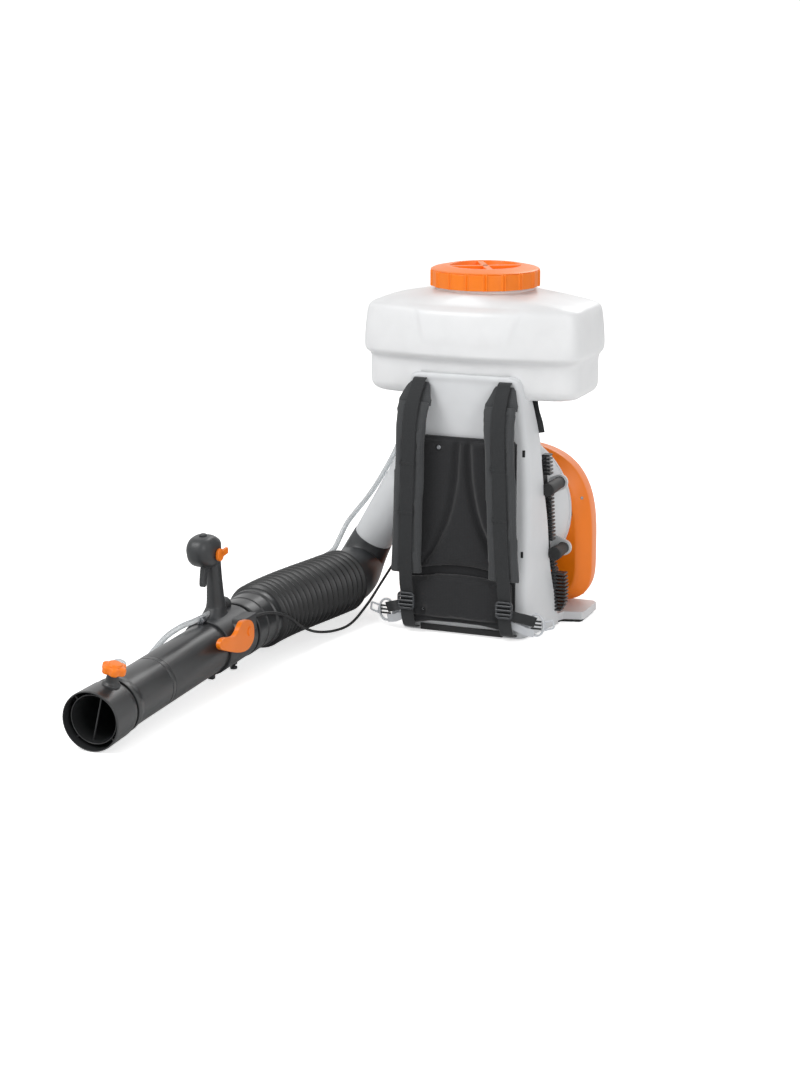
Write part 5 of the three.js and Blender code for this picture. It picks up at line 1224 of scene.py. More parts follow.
on_tube(
    "nozzle_shell",
    together(
        spun(nozzle_profile, frame=TUBE, sides=128),
        spun(liner_profile, frame=TUBE, sides=96),
        *ribs,
        needle,
    ),
    stands_for="nozzle",
)
front_profile = rounded(
    [
        (TUBE_BORE, 48),
        (TUBE_R - 0.3, 48),
        (TUBE_R - 0.3, 76),
        (47.9, 76, 1.2),
        (47.9, 86, 1.8),
        (TUBE_R + 0.4, 97, 3),
        (TUBE_R, 130),
        (TUBE_R, 196, 0.8),
        (TUBE_R - 0.8, 196.8),
        (TUBE_R - 0.8, 198.2),
        (TUBE_R, 199, 0.8),
        (TUBE_R, SEAM - 0.2, 0.8),
        (TUBE_BORE, SEAM - 0.2),
    ]
)
on_tube("front_tube", spun(front_profile, frame=TUBE, sides=128), stands_for="blow_tube_front")
rear_profile = rounded(
    [
        (40.2, 173),
        (42.6, 173),
        (42.6, SEAM + 0.3),
        (TUBE_R, SEAM + 0.3, 0.8),
        (TUBE_R, 515.7, 0.8),
        (TUBE_BORE, 515.7),
        (TUBE_BORE, 217),
        (40.2, 213),
    ]
)
on_tube("rear_tube", spun(rear_profile, frame=TUBE, sides=128), stands_for="blow_tube_rear")
cuff_profile = rounded(
    [
        (TUBE_BORE, CUFF_START),
        (CUFF_R - 0.6, CUFF_START, 1.5),
        (CUFF_R, CUFF_START + 4, 1),
        (CUFF_R, 545, 0.5),
        (CUFF_R - 1.4, 547, 0.5),
        (CUFF_R - 1.4, 551, 0.5),
        (CUFF_R, 553, 0.5),
        (CUFF_R, CUFF_END - 20, 1),
        (CUFF_R + 3, CUFF_END - 17, 1.2),
        (CUFF_R + 3, CUFF_END - 6, 1.2),
        (54, CUFF_END - 4),
        (54, CUFF_END),
        (TUBE_BORE, CUFF_END),
    ]
)
on_tube("cuff_ring", spun(cuff_profile, frame=TUBE, sides=128), stands_for="tube_cuff")

# ---------------------------------------------------------------- metering valve and knob
# A short nylon post on the nozzle, with a barb for the spray hose behind it. The orange knob
# on its stem has six finger lobes and sets how much liquid the needle lets through.
METER = TUBE @ Matrix.Rotation(math.radians(METER_TILT), 4, "Y")
METER_AT = 52
METER_FOOT, METER_TOP = 50.6, 70.6
post_profile = rounded(
    [
        (0.1, METER_FOOT - 2),
        (15.5, METER_FOOT - 2),
        (15, METER_FOOT + 1, 1),
        (11, METER_FOOT + 4, 3),
        (10, METER_FOOT + 12, 2),
        (9, METER_TOP, 0.8),
        (0.1, METER_TOP),
    ]
)
stem_profile = [(0.1, METER_TOP - 1), (4, METER_TOP - 1), (4, 79), (0.1, 79)]
barb_profile = rounded(
    [(0.1, 58), (5.2, 58), (5.2, 66, 1), (3.6, 67), (3.6, 77), (0.1, 77)]
)
on_tube(
    "metering_post",
    together(
        spun(post_profile, (0, METER_AT, 0), "Z", 48, frame=METER),
        spun(stem_profile, (0, METER_AT, 0), "Z", 24, frame=METER),
        spun(barb_profile, (0, 0, 62.6), "Y", 32, frame=METER),
    ),
    black_nylon,
    "metering_valve",
)
KNOB_R, KNOB_BOTTOM, KNOB_LOBES = 21, 70.9, 6


def lobed(angle, radius, along):
    """Six rounded finger lobes round the knob."""
    if radius < 14:
        return radius
    return radius - 4 * (0.5 - 0.5 * math.cos(KNOB_LOBES * angle)) ** 1.4


knob_profile = rounded(
    [
        (4.6, KNOB_BOTTOM),
        (KNOB_R - 1, KNOB_BOTTOM, 1.5),
        (KNOB_R, KNOB_BOTTOM + 3, 1.5),
        (KNOB_R, KNOB_BOTTOM + 12, 2.4),
        (16, KNOB_BOTTOM + 14, 1.5),
        (12.4, KNOB_BOTTOM + 14, 1.2),
        (11, KNOB_BOTTOM + 17, 1.5),
        (0.1, KNOB_BOTTOM + 17),
        (0.1, KNOB_BOTTOM + 9),
        (4.6, KNOB_BOTTOM + 9),
    ]
)
piece(
    "knob",
    spun(knob_profile, (0, METER_AT, 0), "Z", 144, frame=METER, wave=lobed),
    orange,
    "metering_knob",
    "metering_knob",
)

# ---------------------------------------------------------------- handle clamp and spray valve
# A nylon clamp grips the tube and carries the control handle's foot. The spray valve's barrel
# crosses it, and the orange lever on the barrel's end opens and shuts the liquid.
GRIP_X, GRIP_AT = -6, 458
VALVE_AT, VALVE_UP, VALVE_R, VALVE_REACH = 458, 22, 20, 50
clamp_ring = rounded([(45.6, 405), (49.5, 405, 1.5), (49.5, 511, 1.5), (45.6, 511)])
valve_profile = rounded(
    [
        (0.1, -24),
        (VALVE_R, -24, 2),
        (VALVE_R, 40, 0.8),
        (VALVE_R - 1.2, 41),
        (VALVE_R - 1.2, 43),
        (VALVE_R, 44, 0.8),
        (VALVE_R, VALVE_REACH, 1.5),
        (0.1, VALVE_REACH),
    ]
)


def foot_ring(z, half_x, half_y, forward, square):
    turns = [2 * math.pi * k / 72 for k in range(72)]
    flat = [oval(a, half_x, half_y, square) for a in turns]
    return [TUBE @ Vector((GRIP_X + u, GRIP_AT - forward + v, z)) for u, v in flat]


foot_levels = between(
    [
        (28, 28, 44, 19, 3),
        (38, 26.5, 39, 16.5, 3),
        (45, 22, 31.5, 11, 3),
        (52, 17.8, 25.5, 5.5, 3),
        (62, 15, 19, 0, 3),
    ],
    4,
)
clamp_parts = [
    spun(clamp_ring, frame=TUBE, sides=128),
    spun(valve_profile, (0, VALVE_AT, VALVE_UP), "X", 72, frame=TUBE),
    shell([foot_ring(*level) for level in foot_levels]),
]
on_tube("clamp_ring_and_valve", together(*clamp_parts), black_nylon, "handle_clamp")
clamp_blocks = [
    block((72, 47, 30), (14, 481.5, 27), TUBE),
    block((12, 10, 12), (4, 413, -52.5), TUBE),
    block((12, 10, 12), (4, 499, -52.5), TUBE),
]
on_tube("clamp_blocks", together(*clamp_blocks), black_nylon, edge=2.5)
# A ribbed union sits behind the grip's foot, on the bellows side, and a steel nut before it.
union = [(0.1, 484)]
for i in range(6):
    rib_at = 484 + 3.2 * i
    union += [(10.5, rib_at), (12, rib_at + 1), (12, rib_at + 2.2), (10.5, rib_at + 3)]
union.append((0.1, 503.5))
union_end = [(0.1, 503), (6.5, 503), (6.5, 508), (0.1, 508)]
UNION_PLACE = (GRIP_X - 4, 0, 54)
on_tube(
    "valve_union",
    together(*[spun(profile, UNION_PLACE, "Y", 48, frame=TUBE) for profile in (union, union_end)]),
    black_nylon,
)
nut = rounded([(0.1, 396), (8, 396, 1), (8, 404, 1), (5.8, 404), (5.8, 413), (0.1, 413)])
on_tube("hose_nut", spun(nut, (GRIP_X, 0, 51.5), "Y", 6, frame=TUBE), turned_steel)
thumb = rounded([(0.1, -66), (6.5, -66, 1), (6.5, -62, 1), (3, -61), (3, -57), (0.1, -57)])
on_tube("clamp_thumb_screw", spun(thumb, (4, 499, 0), "Z", 24, frame=TUBE), black_nylon)

LEVER_OUTLINE = [
    (17, -10),
    (15, 8),
    (4, 19),
    (-14, 24),
    (-27, 25),
    (-38, 19),
    (-48, 11),
    (-64, 8),
    (-92, 15),
    (-108, 15),
    (-114, 8),
    (-108, -1),
    (-82, -12),
    (-54, -23),
    (-27, -30),
    (-5, -30),
    (11, -22),
]


def smooth_loop(outline, steps):
    """A closed outline through flat points, on a smooth curve."""
    count = len(outline)
    wrapped = [outline[i % count] for i in range(-1, count + 2)]
    loop = between(wrapped, steps)
    return loop[steps : steps * (count + 1)]


lever_loop = smooth_loop(LEVER_OUTLINE, 5)
lever_from = VALVE_REACH + 0.3
lever_rings = [
    [TUBE @ Vector((lever_from + x, VALVE_AT + y * s, VALVE_UP + z * s)) for y, z in lever_loop]
    for x, s in ((0, 0.985), (0.8, 1), (8.2, 1), (9, 0.985))
]
lever_boss = rounded([(0.1, 0), (9, 0), (9, 11, 1.5), (0.1, 11)])
piece(
    "spray_lever",
    together(
        shell(lever_rings),
        spun(lever_boss, (lever_from, VALVE_AT, VALVE_UP), "X", 48, frame=TUBE),
    ),
    orange,
    "valve_lever",
    "valve_lever",
    sharp=30,
)

# ---------------------------------------------------------------- control handle
# A pistol grip of moulded nylon with a rounded head. The trigger hangs under the head, the
# stop button sits on its top and the orange setting lever on its right side.
HANDLE = (
    TUBE
    @ Matrix.Translation((GRIP_X, GRIP_AT, 62.3))
    @ Matrix.Rotation(math.radians(3), 4, "X")
)
HEAD_BOTTOM, HEAD_HEIGHT, HEAD_HALF, HEAD_LENGTH, HEAD_FORWARD = 80, 59, 24, 75, 32


def handle_ring(z, half_x, half_y, y, square):
    turns = [2 * math.pi * k / 72 for k in range(72)]
    flat = [oval(a, half_x, half_y, square) for a in turns]
    return [HANDLE @ Vector((u, y + v, z)) for u, v in flat]


grip_levels = between(
    [
        (0.3, 16, 19.5, 0, 2.6),
        (4, 15, 18.6, 0, 2.6),
        (12, 13.8, 17.8, 0, 2.6),
        (32, 12.5, 17, 0, 2.6),
        (60, 11.5, 16, 0, 2.6),
        (86, 12, 16, -1, 2.6),
        (100, 14, 17, -4, 2.6),
    ],
    4,
)
head_levels = between(
    [
        (
            HEAD_BOTTOM + up * HEAD_HEIGHT,
            HEAD_HALF * wide,
            HEAD_LENGTH / 2 * long,
            -HEAD_FORWARD * ahead,
            2.8,
        )
        for up, wide, long, ahead in (
            (0, 0.5, 0.36, 0.5),
            (0.06, 0.66, 0.54, 0.64),
            (0.17, 0.86, 0.76, 0.82),
            (0.3, 0.95, 0.9, 0.92),
            (0.42, 0.98, 0.97, 0.97),
            (0.56, 1, 1, 0.99),
            (0.68, 1, 1, 1),
            (0.78, 0.96, 0.92, 1.04),
            (0.87, 0.87, 0.79, 1.1),
            (0.95, 0.75, 0.63, 1.15),
            (1, 0.56, 0.42, 1.18),
        )
    ],
    3,
)
piece(
    "handle_body",
    together(
        shell([handle_ring(*level) for level in grip_levels]),
        shell([handle_ring(*level) for level in head_levels]),
    ),
    black_nylon,
    "blow_tube",
    "control_handle",
)
TRIGGER_OUTLINE = [
    (-16, 91),
    (-34, 91),
    (-40, 84),
    (-46, 66),
    (-48, 53),
    (-44, 49),
    (-38, 52),
    (-33, 66),
    (-20, 78),
]
trigger_loop = smooth_loop(TRIGGER_OUTLINE, 5)
piece(
    "trigger",
    shell([[HANDLE @ Vector((x, y, z)) for y, z in trigger_loop] for x in (-5, 5)]),
    black_nylon,
    "throttle_trigger",
    "throttle_trigger",
    edge=1.5,
)
button_profile = rounded([(0.1, 134), (7, 134), (7, 141.5, 1.8), (4, 142.5, 1), (0.1, 142)])
piece(
    "stop_push_button",
    spun(button_profile, (0, -HEAD_FORWARD, 0), "Z", 40, frame=HANDLE),
    black_nylon,
    "stop_button",
    "stop_button",
)
dial_profile = rounded(
    [(0.1, 16.5), (6, 16.5), (6, 24.5), (11, 24.5, 1), (11, 30.5, 1.5), (0.1, 30.5)]
)
piece(
    "setting_lever_dial",
    spun(dial_profile, (0, -26, 104.8), "X", 48, frame=HANDLE),
    orange,
    "setting_lever",
    "setting_lever",
)
piece(
    "setting_lever_tab",
    block((6, 28, 12), (27.5, -12, 104.8), HANDLE),
    orange,
    "setting_lever",
    edge=2.2,
)

# ---------------------------------------------------------------- back pad and lumbar pad
# Foam pads under a cover of black polyester cloth, sewn down along curved channels. The back
# pad lies on the plate and the lumbar pad, with an arched top, hangs under it.
def woven(material, tree, shader, where, colour, thread_mm, relief_mm, shade=0.7):
    """Crossed threads, drawn coarser than the real 0.5 mm so that they show, with painted shade in
    the gaps between them.
    """
    light = hexed(colour)
    dark = (*[c * shade for c in light[:3]], 1)
    scale = 0.314 * 1000 / thread_mm
    warp = node(
        tree, "TexWave", {"Vector": where, "Scale": scale, "Distortion": 0.6}, bands_direction="X"
    )
    weft = node(
        tree, "TexWave", {"Vector": where, "Scale": scale, "Distortion": 0.6}, bands_direction="Z"
    )
    weave = node(tree, "Math", {0: warp.outputs[1], 1: weft.outputs[1]}, operation="MULTIPLY")
    cloud = node(tree, "TexNoise", {"Vector": where, "Scale": 1000 / 60, "Detail": 4.0})
    # Painted shade: the colour falls towards its shade share in the gaps between the threads, and a
    # noise adds random tone.
    thread_gap_shade = node(tree, "Mix", {0: weave.outputs[0], 2: 0.35, 3: 1.0}, data_type="FLOAT")
    gap_shade_and_tone = node(tree, "Math", {0: thread_gap_shade.outputs[0], 1: cloud.outputs[0]}, operation="MULTIPLY")
    tint = node(tree, "Mix", {0: gap_shade_and_tone.outputs[0], 6: dark, 7: light}, data_type="RGBA")
    tree.links.new(tint.outputs[2], shader.inputs["Base Color"])
    bump = node(
        tree, "Bump", {"Height": weave.outputs[0], "Distance": relief_mm / 1000, "Strength": 0.5}
    )
    tree.links.new(bump.outputs[0], shader.inputs["Normal"])
    shader.inputs["Roughness"].default_value = 0.85
    return material


# Woven polyester: matt black, lighter at a grazing angle, with a visible weave whose gaps hold
# painted shade.
pad_cloth = woven(
    *surface(
        "polyester cloth, woven, black",
        "pad_cloth",
        IOR=1.5,
        Sheen_Weight=0.25,
        Sheen_Roughness=0.5,
    ),
    colour="#1C1D20",
    thread_mm=3,
    relief_mm=0.5,
)


def filled(obj, most, flat_y):
    """Swells a cushion under its cover by up to that many millimetres, flat against a plate."""
    mesh = obj.data
    remesh = obj.modifiers.new("even mesh", "REMESH")
    remesh.mode = "VOXEL"
    remesh.voxel_size = 0.0045
    graph = bpy.context.evaluated_depsgraph_get()
    mesh = bpy.data.meshes.new_from_object(obj.evaluated_get(graph))
    obj.modifiers.clear()
    obj.data = mesh
    start = [vertex.co.copy() for vertex in mesh.vertices]
    cloth = obj.modifiers.new("cover", "CLOTH")
    cloth.settings.use_pressure = True
    cloth.settings.uniform_pressure_force = 4
    cloth.settings.effector_weights.gravity = 0
    cloth.settings.quality = 5
    cloth.point_cache.frame_end = 20
    for frame_number in range(1, 21):
        bpy.context.scene.frame_set(frame_number)
    graph = bpy.context.evaluated_depsgraph_get()
    swollen = obj.evaluated_get(graph).to_mesh()
    for vertex, at, moved in zip(mesh.vertices, start, swollen.vertices):
        step = moved.co - at
        if step.length > most / 1000:
            step *= most / 1000 / step.length
        vertex.co = at + step
        vertex.co.y = min(vertex.co.y, flat_y / 1000)
    obj.modifiers.clear()
    bpy.context.scene.frame_set(1)
    mesh.shade_smooth()
    rounds = obj.modifiers.new("smooth cover", "SUBSURF")
    rounds.levels = rounds.render_levels = 1


PAD_HALF, PAD_THICK = 110, 17
PAD_BOTTOM, PAD_TOP = 128, 387
LUMBAR_HALF, LUMBAR_THICK, LUMBAR_BOTTOM, LUMBAR_ARCH = 108, 20, 16, 17
# Half the spacing of the back pad's channels, from its bottom to its top.
CHANNELS = [86, 64, 48, 34, 25, 19, 14.5, 12.5, 11, 10.5]


def channel_at(z):
    share = min(1, max(0, (z - PAD_BOTTOM) / (PAD_TOP - PAD_BOTTOM))) * (len(CHANNELS) - 1)
    i = min(int(share), len(CHANNELS) - 2)
    return CHANNELS[i] + (CHANNELS[i + 1] - CHANNELS[i]) * (share - i)


def sewn_down(obj, depth_at):
    """Presses a cushion's front towards the plate, by a share given for each place (x, z)."""
    for vertex in obj.data.vertices:
        x, y, z = (1000 * c for c in vertex.co)
        proud = PLATE_FRONT_Y - y
        if proud > 1:
            vertex.co.y += depth_at(x, z) * proud / 1000


def groove(distance, width):
    return math.exp(-((distance / width) ** 2))


def cushion_shape(outline, thick, rows=5):
    """A slab of foam with rounded edges over an outline (x, z), lying on the plate."""
    count = len(outline)
    middle = Vector((sum(x for x, z in outline) / count, sum(z for x, z in outline) / count))
    rings = []
    for i in range(rows + 1):
        a = math.pi / 2 * i / rows
        inset = 9 * (1 - math.cos(a))
        y = PLATE_FRONT_Y - thick * (0.25 + 0.75 * math.sin(a))
        ring = []
        for x, z in outline:
            inward = middle - Vector((x, z))
            inward = inward.normalized() * inset
            ring.append((x + inward.x, y, z + inward.y))
        rings.append(ring)
    rings.insert(0, [(x, PLATE_FRONT_Y, z) for x, z in outline])
    return shell(rings)


def rounded_outline(corners, radius, steps=6):
    loop = rounded([(x, z, radius) for x, z in corners], steps=steps)
    dense = []
    for (x0, z0), (x1, z1) in zip(loop, loop[1:] + loop[:1]):
        parts = max(1, round(math.hypot(x1 - x0, z1 - z0) / 10))
        dense += [(x0 + (x1 - x0) * i / parts, z0 + (z1 - z0) * i / parts) for i in range(parts)]
    return dense


def lumbar_top(x):
    return PAD_BOTTOM - 1.3 - LUMBAR_ARCH * (x / LUMBAR_HALF) ** 2


lower_edge = [(x, lumbar_top(x) + 1.5) for x in range(-100, 101, 20)]
back_outline = rounded_outline(
    [
        (-PAD_HALF + 1, lumbar_top(PAD_HALF) + 1.5),
        *lower_edge,
        (PAD_HALF - 1, lumbar_top(PAD_HALF) + 1.5),
        (PAD_HALF - 1, PAD_TOP - 1),
        (-PAD_HALF + 1, PAD_TOP - 1),
    ],
    10,
)
# Both pads are sewn to one black carrier cloth, which shows in the seam between them.
piece(
    "pad_carrier",
    block((2 * PAD_HALF - 8, 5, 346), (0, PLATE_FRONT_Y - 2, 200)),
    pad_cloth,
    "frame",
    edge=1.5,
)
back_pad = piece(
    "back_pad_cover", cushion_shape(back_outline, PAD_THICK - 4), pad_cloth, "frame", "back_pad"
)
filled(back_pad, 6, PLATE_FRONT_Y)
# Cup washers under screws hold the pads to the plate: two on the left, two on the right.
SCREWS = [(-43, 358), (62, 358), (-72, 47), (84, 47)]


def drawn_in(x, z):
    return sum(0.55 * groove(math.hypot(x - u, z - w), 8) for u, w in SCREWS)


sewn_down(
    back_pad,
    lambda x, z: min(
        0.75,
        0.6 * groove(abs(x - 5) - channel_at(z), 6.5) * min(1, max(0, (374 - z) / 8))
        + 0.3 * groove(z - 374, 2.4)
        + 0.12 * groove(abs(x) - 104, 5)
        + drawn_in(x, z),
    ),
)

top_edge = [(x, lumbar_top(x) - 1) for x in range(100, -101, -20)]
lumbar_outline = rounded_outline(
    [
        (-LUMBAR_HALF + 1, LUMBAR_BOTTOM + 1),
        (LUMBAR_HALF - 1, LUMBAR_BOTTOM + 1),
        (LUMBAR_HALF - 1, lumbar_top(LUMBAR_HALF) - 1),
        *top_edge,
        (-LUMBAR_HALF + 1, lumbar_top(LUMBAR_HALF) - 1),
    ],
    12,
)
lumbar_pad = piece(
    "lumbar_pad_cover",
    cushion_shape(lumbar_outline, LUMBAR_THICK - 4),
    pad_cloth,
    "frame",
    "lumbar_pad",
)
filled(lumbar_pad, 7, PLATE_FRONT_Y)
sewn_down(
    lumbar_pad,
    lambda x, z: 0.5 * groove(z - LUMBAR_BOTTOM - 16, 3.5) + drawn_in(x, z),
)
washer = rounded(
    [
        (0.1, -2.4),
        (1.6, -2.4),
        (2, -3.4, 0.3),
        (3.6, -3.4, 0.5),
        (6.4, -0.6, 0.4),
        (6.4, 0.6),
        (0.1, 0.6),
    ]
)
piece(
    "pad_screws",
    together(*[spun(washer, (x, PLATE_FRONT_Y - 10, z), "Y", 32) for x, z in SCREWS]),
    turned_steel,
    "frame",
)

# ---------------------------------------------------------------- shoulder straps and webbing
# Each strap is a foam pad in a dark grey cloth cover, 68 mm wide, with a polypropylene webbing
# of 25 mm sewn down its middle. It leaves the plate near its top and ends at its foot.
# Mesh cloth: a lighter grey than the pads, with painted shade darkening the gaps between its
# threads.
strap_cloth = woven(
    *surface("polyester mesh cloth, dark grey", "strap_cloth", IOR=1.5, Sheen_Weight=0.2),
    colour="#46484A",
    thread_mm=3.2,
    relief_mm=0.5,
    shade=0.6,
)
# Webbing: a tight, dark weave between the two cloths in tone, with painted shade in the gaps
# between its threads.
webbing_weave = woven(
    *surface("polypropylene webbing, woven, black", "strap_cloth", IOR=1.49, Sheen_Weight=0.15),
    colour="#2E3032",
    thread_mm=2.4,
    relief_mm=0.4,
    shade=0.55,
)

STRAP_WIDTH, STRAP_THICK = 68, 13
WEBBING_WIDTH, WEBBING_THICK = 25, 2.4
STRAP_TOP_X, STRAP_FOOT_X = 83, 97
STRAP_TOP_Z, STRAP_FOOT_Z = 471, 118
UPPER_SLOT_Z, WEBBING_FOOT_Z, BUCKLE_Z = 484, 9, 66
STRAP_LINE = [(-139, 471), (-156, 450), (-172, 410), (-174, 300), (-172, 180), (-166, 118)]
BUCKLE_Y = -166


def strap_x(z):
    share = (z - STRAP_FOOT_Z) / (STRAP_TOP_Z - STRAP_FOOT_Z)
    return STRAP_FOOT_X + (STRAP_TOP_X - STRAP_FOOT_X) * share


strap_line = smooth_line([(strap_x(z), y, z) for y, z in STRAP_LINE], 12)
ACROSS = Vector((1, 0, 0))


def facing(line, i):
    way = line[min(i + 1, len(line) - 1)] - line[max(i - 1, 0)]
    return ACROSS.cross(way).normalized()


def band(line, widths, thicks, sides, square, side=1):
    """A flat band along a line in the plane of the strap, on the right (1) or left (-1)."""
    rings = []
    for i, at in enumerate(line):
        ring = []
        for k in range(sides):
            a = 2 * math.pi * (k + 0.5) / sides
            u, v = oval(a, widths[i] / 2, thicks[i] / 2, square)
            place = at + ACROSS * u + facing(line, i) * v
            ring.append((side * place.x, place.y, place.z))
        rings.append(ring)
    return shell(rings)


def tape(line, width, thick):
    """A flat tape along a line, whose flat side faces the pads' side; width may be a list."""
    rings = []
    for i, at in enumerate(line):
        way = (line[min(i + 1, len(line) - 1)] - line[max(i - 1, 0)]).normalized()
        flat = way.cross(Vector((0, -1, 0))).normalized()
        up = flat.cross(way).normalized()
        wide = width[i] if isinstance(width, list) else width
        turns = [2 * math.pi * (k + 0.5) / 24 for k in range(24)]
        ring = [oval(a, wide / 2, thick / 2, 8) for a in turns]
        rings.append([at + flat * u + up * v for u, v in ring])
    return shell(rings)


PAD_START_Z = 447  # the strap's foam starts below its cloth tongue
foam_line = [p for p in strap_line if p.z < PAD_START_Z]
last = len(foam_line) - 1
strap_widths = [(STRAP_WIDTH - 3) * (0.94 if i in (0, last) else 1) for i in range(last + 1)]
strap_thicks = [(STRAP_THICK - 3) * (0.75 if i in (0, last) else 1) for i in range(last + 1)]
webbing_lift = -(STRAP_THICK / 2 + WEBBING_THICK / 2)
on_strap = [p + facing(strap_line, i) * webbing_lift for i, p in enumerate(strap_line)]
strap_top = on_strap[0]
webbing_points = [
    Vector((STRAP_TOP_X, -126, UPPER_SLOT_Z)),
    Vector((STRAP_TOP_X, -133, UPPER_SLOT_Z)),
    Vector(
        (
            STRAP_TOP_X,
            -130 + (strap_top.y + 130) * 0.7,
            UPPER_SLOT_Z + (strap_top.z - UPPER_SLOT_Z) * 0.4,
        )
    ),
    *on_strap[1::4],
    Vector((STRAP_FOOT_X, BUCKLE_Y - 5, BUCKLE_Z + 34)),
    Vector((STRAP_FOOT_X, BUCKLE_Y, BUCKLE_Z + 15)),
    Vector((STRAP_FOOT_X, BUCKLE_Y, BUCKLE_Z - 15)),
    Vector((STRAP_FOOT_X, BUCKLE_Y + 7, BUCKLE_Z - 38)),
    Vector((STRAP_FOOT_X, -150, WEBBING_FOOT_Z + 5)),
    Vector((STRAP_FOOT_X, -136, WEBBING_FOOT_Z)),
    Vector((STRAP_FOOT_X, -126, WEBBING_FOOT_Z)),
]
webbing_line = smooth_line(webbing_points, 4)
tongue_line = smooth_line(
    [(84, -160, 438), (84, -155, 450), (83.6, -146, 462), (83, -138, 472), (83, -135, 477)], 5
)
tongue_shares = [i / (len(tongue_line) - 1) for i in range(len(tongue_line))]
tongue_widths = [63 - 34 * max(0, share - 0.2) ** 0.85 for share in tongue_shares]
TACKS = [332, 238]  # heights of the sewn bars across the webbing
TACK_SIZE = (29, 1.6, 5)
# The webbing's bed, measured from the strap's middle towards +X on both straps, and the deeper
# seam along its +X edge.
BED_FROM, BED_TO, SEAM_TO, SEAM_DEPTH = -14.5, 12.8, 16.5, 1.6


def sewn_channel(strap, side):
    """Presses a strap's front down under its webbing, and draws it in at the sewn bars."""
    for vertex in strap.data.vertices:
        x, y, z = side * 1000 * vertex.co.x, 1000 * vertex.co.y, 1000 * vertex.co.z
        i = min(range(len(strap_line)), key=lambda k: abs(strap_line[k].z - z))
        front = (strap_line[i].y - y) - (STRAP_THICK / 2 - 1.2)
        across = side * (x - strap_x(z))
        if front > 0:
            in_bed = BED_FROM < across < BED_TO
            in_seam = BED_TO <= across < SEAM_TO
            pinch = sum(1.8 * groove(z - tack, 4) * groove(across, 24) for tack in TACKS)
            vertex.co.y += (front * (in_bed or in_seam) + in_seam * SEAM_DEPTH + pinch) / 1000


for side, hand in ((1, "right"), (-1, "left")):
    strap = piece(
        f"shoulder_pad_{hand}",
        band(foam_line, strap_widths, strap_thicks, 36, 4.5, side),
        strap_cloth,
        "frame",
        f"shoulder_strap_{hand}",
    )
    filled(strap, 3, 0)
    sewn_channel(strap, side)
    piece(
        f"strap_tongue_{hand}",
        mirrored(tape(tongue_line, tongue_widths, 4.5), side),
        strap_cloth,
        "frame",
    )
    piece(
        f"webbing_band_{hand}",
        band(
            webbing_line,
            [WEBBING_WIDTH] * len(webbing_line),
            [WEBBING_THICK] * len(webbing_line),
            24,
            8,
            side,
        ),
        webbing_weave,
        "frame",
        f"webbing_{hand}",
    )
    tacks = []
    for z in TACKS:
        on_strap_y = min(on_strap, key=lambda p: abs(p.z - z)).y
        tacks.append(block(TACK_SIZE, (side * strap_x(z) - 2, on_strap_y - 1.2, z)))
    piece(f"sewn_bars_{hand}", together(*tacks), webbing_weave, "frame", edge=0.7)

# ---------------------------------------------------------------- buckles and hooks
# Ladder buckles of moulded acetal, a rounded frame with three bars, take up the webbing's length.
# Pale ring hooks beside the plate's foot hold the side straps. The left side mirrors the right.
# Dark acetal: hard and glossier than the nylon.
dark_acetal = grained(
    *surface("acetal, moulded, dark grey", "buckle_polymer", IOR=1.48),
    colour="#3A3C3F",
    grain_mm=2,
    relief_mm=0.04,
    roughness=0.24,
)
# Pale acetal: a cool grey, a little darker than the plate behind it.
pale_acetal = grained(
    *surface("acetal, moulded, pale grey", "hook_polymer", IOR=1.48),
    colour="#CBCED2",
    grain_mm=2,
    relief_mm=0.04,
    roughness=0.34,
)


def loop_of(outline, thick, deep, y):
    """A flat closed ring of rounded section along an outline (x, z): a frame or an eye."""
    count = len(outline)
    rings = []
    for i in range(count):
        (x0, z0), (x1, z1) = outline[i - 1], outline[(i + 1) % count]
        way = Vector((x1 - x0, 0, z1 - z0)).normalized()
        out = way.cross(Vector((0, 1, 0)))
        at = Vector((outline[i][0], y, outline[i][1]))
        turns = [2 * math.pi * (k + 0.5) / 16 for k in range(16)]
        ring = [oval(a, thick / 2, deep / 2, 3) for a in turns]
        rings.append([at + out * u + Vector((0, v, 0)) for u, v in ring])
    return shell([*rings, rings[0]])


BUCKLE_HALF_X, BUCKLE_HALF_Z = 14.8, 14.5
HOOK_X, HOOK_Z = 150, 36
buckle_outline = rounded_outline(
    [
        (STRAP_FOOT_X + u * BUCKLE_HALF_X, BUCKLE_Z + 1 + v * BUCKLE_HALF_Z)
        for u, v in ((-1, -1), (1, -1), (1, 1), (-1, 1))
    ],
    6,
)
bar_profile = [(0.1, -15), (2.5, -15), (2.5, 15), (0.1, 15)]
buckle_bars = [
    spun(bar_profile, (STRAP_FOOT_X, -170.6, BUCKLE_Z + w), "X", 20) for w in (-7, 1, 9)
]
eye = [
    (HOOK_X + 14 * math.cos(math.pi * k / 24), HOOK_Z + 20.5 * math.sin(math.pi * k / 24))
    for k in range(48)
]
tail = smooth_line([(104, -166, 60), (116, -160, 54), (132, -146, 47), (148, -138, 41)], 5)
hem = smooth_line([(103, -150, 34), (116, -147, 30), (130, -142, 23), (146, -139, 20)], 5)
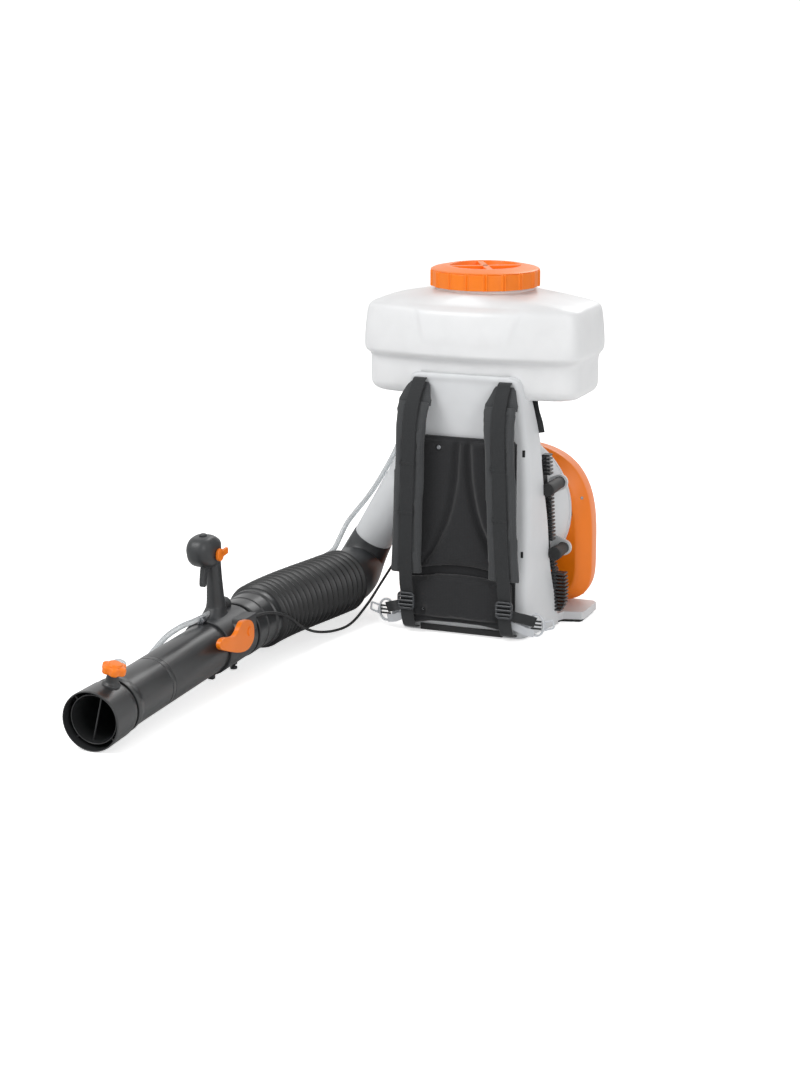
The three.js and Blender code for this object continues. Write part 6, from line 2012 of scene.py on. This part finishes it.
for side, hand in ((1, "right"), (-1, "left")):
    piece(
        f"buckle_ladder_{hand}",
        mirrored(together(loop_of(buckle_outline, 4.6, 5.5, -169.5), *buckle_bars), side),
        dark_acetal,
        "frame",
        f"buckle_{hand}",
    )
    piece(
        f"ring_hook_{hand}",
        mirrored(
            together(
                loop_of(eye, 4.2, 5, -136),
                tape([Vector((112, -132.6, 30)), Vector((138, -134, 30))], 12, 3.6),
            ),
            side,
        ),
        pale_acetal,
        "frame",
        f"strap_hook_{hand}",
    )
    piece(f"webbing_tail_{hand}", mirrored(tape(tail, 20, 2.2), side), webbing_weave, "frame")
    piece(f"side_strap_{hand}", mirrored(tape(hem, 15, 3), side), pale_acetal, "frame")
    turns = [block((21, 3, 3.4), (HOOK_X, -139.5, HOOK_Z + w)) for w in (-6, 1, 8)]
    piece(f"webbing_turns_{hand}", mirrored(together(*turns), side), webbing_weave, "frame", edge=1)
    clip = rounded_outline([(165, 27), (183, 33), (181, 47), (163, 42)], 3)
    piece(
        f"side_clip_{hand}",
        mirrored(
            together(
                loop_of(clip, 3.6, 4, -134),
                tape([Vector((160, -134, 34)), Vector((168, -134, 36))], 11, 3),
            ),
            side,
        ),
        pale_acetal,
        "frame",
    )

# A loose end of the carrying strap hangs behind the plate's right edge, below the tank.
loose_end = smooth_line([(114, -60, 446), (118, -60, 424), (125, -60, 402), (129, -60, 383)], 5)
piece("loose_strap_end", tape(loose_end, 12, 2.2), webbing_weave, "frame")
# Painted shade: two black blocks set into the plate beside the pad's edge stand for the dark
# openings of slots.
slot_shade_blocks = [block((5, 5, h), (x, -127.6, z)) for x, z, h in ((118, 355, 13), (117, 165, 12))]
piece("pad_edge_slots", together(*slot_shade_blocks), moulded_rubber, "frame", edge=0.8)

# ---------------------------------------------------------------- floor, lamps and surroundings
# A plain pale floor under soft studio light: a wide lamp overhead to the left, a weaker one
# from the right, and an even pale sky.
floor_mesh = bpy.data.meshes.new("floor")
floor_mesh.from_pydata([(-90, -90, 0), (90, -90, 0), (90, 90, 0), (-90, 90, 0)], [], [(0, 1, 2, 3)])
floor = bpy.data.objects.new("floor", floor_mesh)
bpy.context.collection.objects.link(floor)
floor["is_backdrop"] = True
# White paper: matt, and glowing for the camera alone, so that it shows white.
paper, tree, shader, where = surface("paper backdrop, matt, white", "grey_polymer", Roughness=0.9)
tone = node(tree, "TexNoise", {"Vector": where, "Scale": 0.8, "Detail": 1.0})
sheet = node(
    tree, "Mix", {0: tone.outputs[0], 6: hexed("#F4F4F4"), 7: hexed("#FAFAFA")}, data_type="RGBA"
)
tree.links.new(sheet.outputs[2], shader.inputs["Base Color"])
rays = node(tree, "LightPath")
seen = node(tree, "Math", {0: rays.outputs["Is Camera Ray"], 1: 0.62}, operation="MULTIPLY")
shader.inputs["Emission Color"].default_value = (1, 1, 1, 1)
tree.links.new(seen.outputs[0], shader.inputs["Emission Strength"])
floor_mesh.materials.append(paper)

for name, place, size, power in (
    ("key lamp", (-1.6, -2.6, 3.2), 2.0, 70),
    ("fill lamp", (2.8, -2.2, 1.8), 1.8, 27),
    ("rim lamp", (0.4, 2.8, 2.6), 1.8, 34),
):
    lamp = bpy.data.objects.new(name, bpy.data.lights.new(name, "AREA"))
    lamp.data.energy = power
    lamp.data.shape = "SQUARE"
    lamp.data.size = size
    lamp.location = place
    aim = Vector((-0.1, -0.3, 0.3)) - lamp.location
    lamp.rotation_euler = aim.to_track_quat("-Z", "Y").to_euler()
    bpy.context.collection.objects.link(lamp)

world = bpy.data.worlds.new("studio")
world.use_nodes = True
bpy.context.scene.world = world
tree = world.node_tree
sky = tree.nodes["Background"]
sky.inputs["Color"].default_value = (1, 1, 1, 1)
rays = node(tree, "LightPath")
seen = node(
    tree,
    "Math",
    {0: rays.outputs["Is Camera Ray"], 1: rays.outputs["Is Glossy Ray"]},
    operation="MAXIMUM",
)
seen = node(
    tree,
    "Math",
    {0: seen.outputs[0], 1: rays.outputs["Is Transmission Ray"]},
    operation="MAXIMUM",
)
level = node(tree, "MapRange", {"Value": seen.outputs[0], "To Min": 0.5, "To Max": 1.0})
tree.links.new(level.outputs[0], sky.inputs["Strength"])

bpy.context.scene.view_settings.view_transform = "Standard"

low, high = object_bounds()
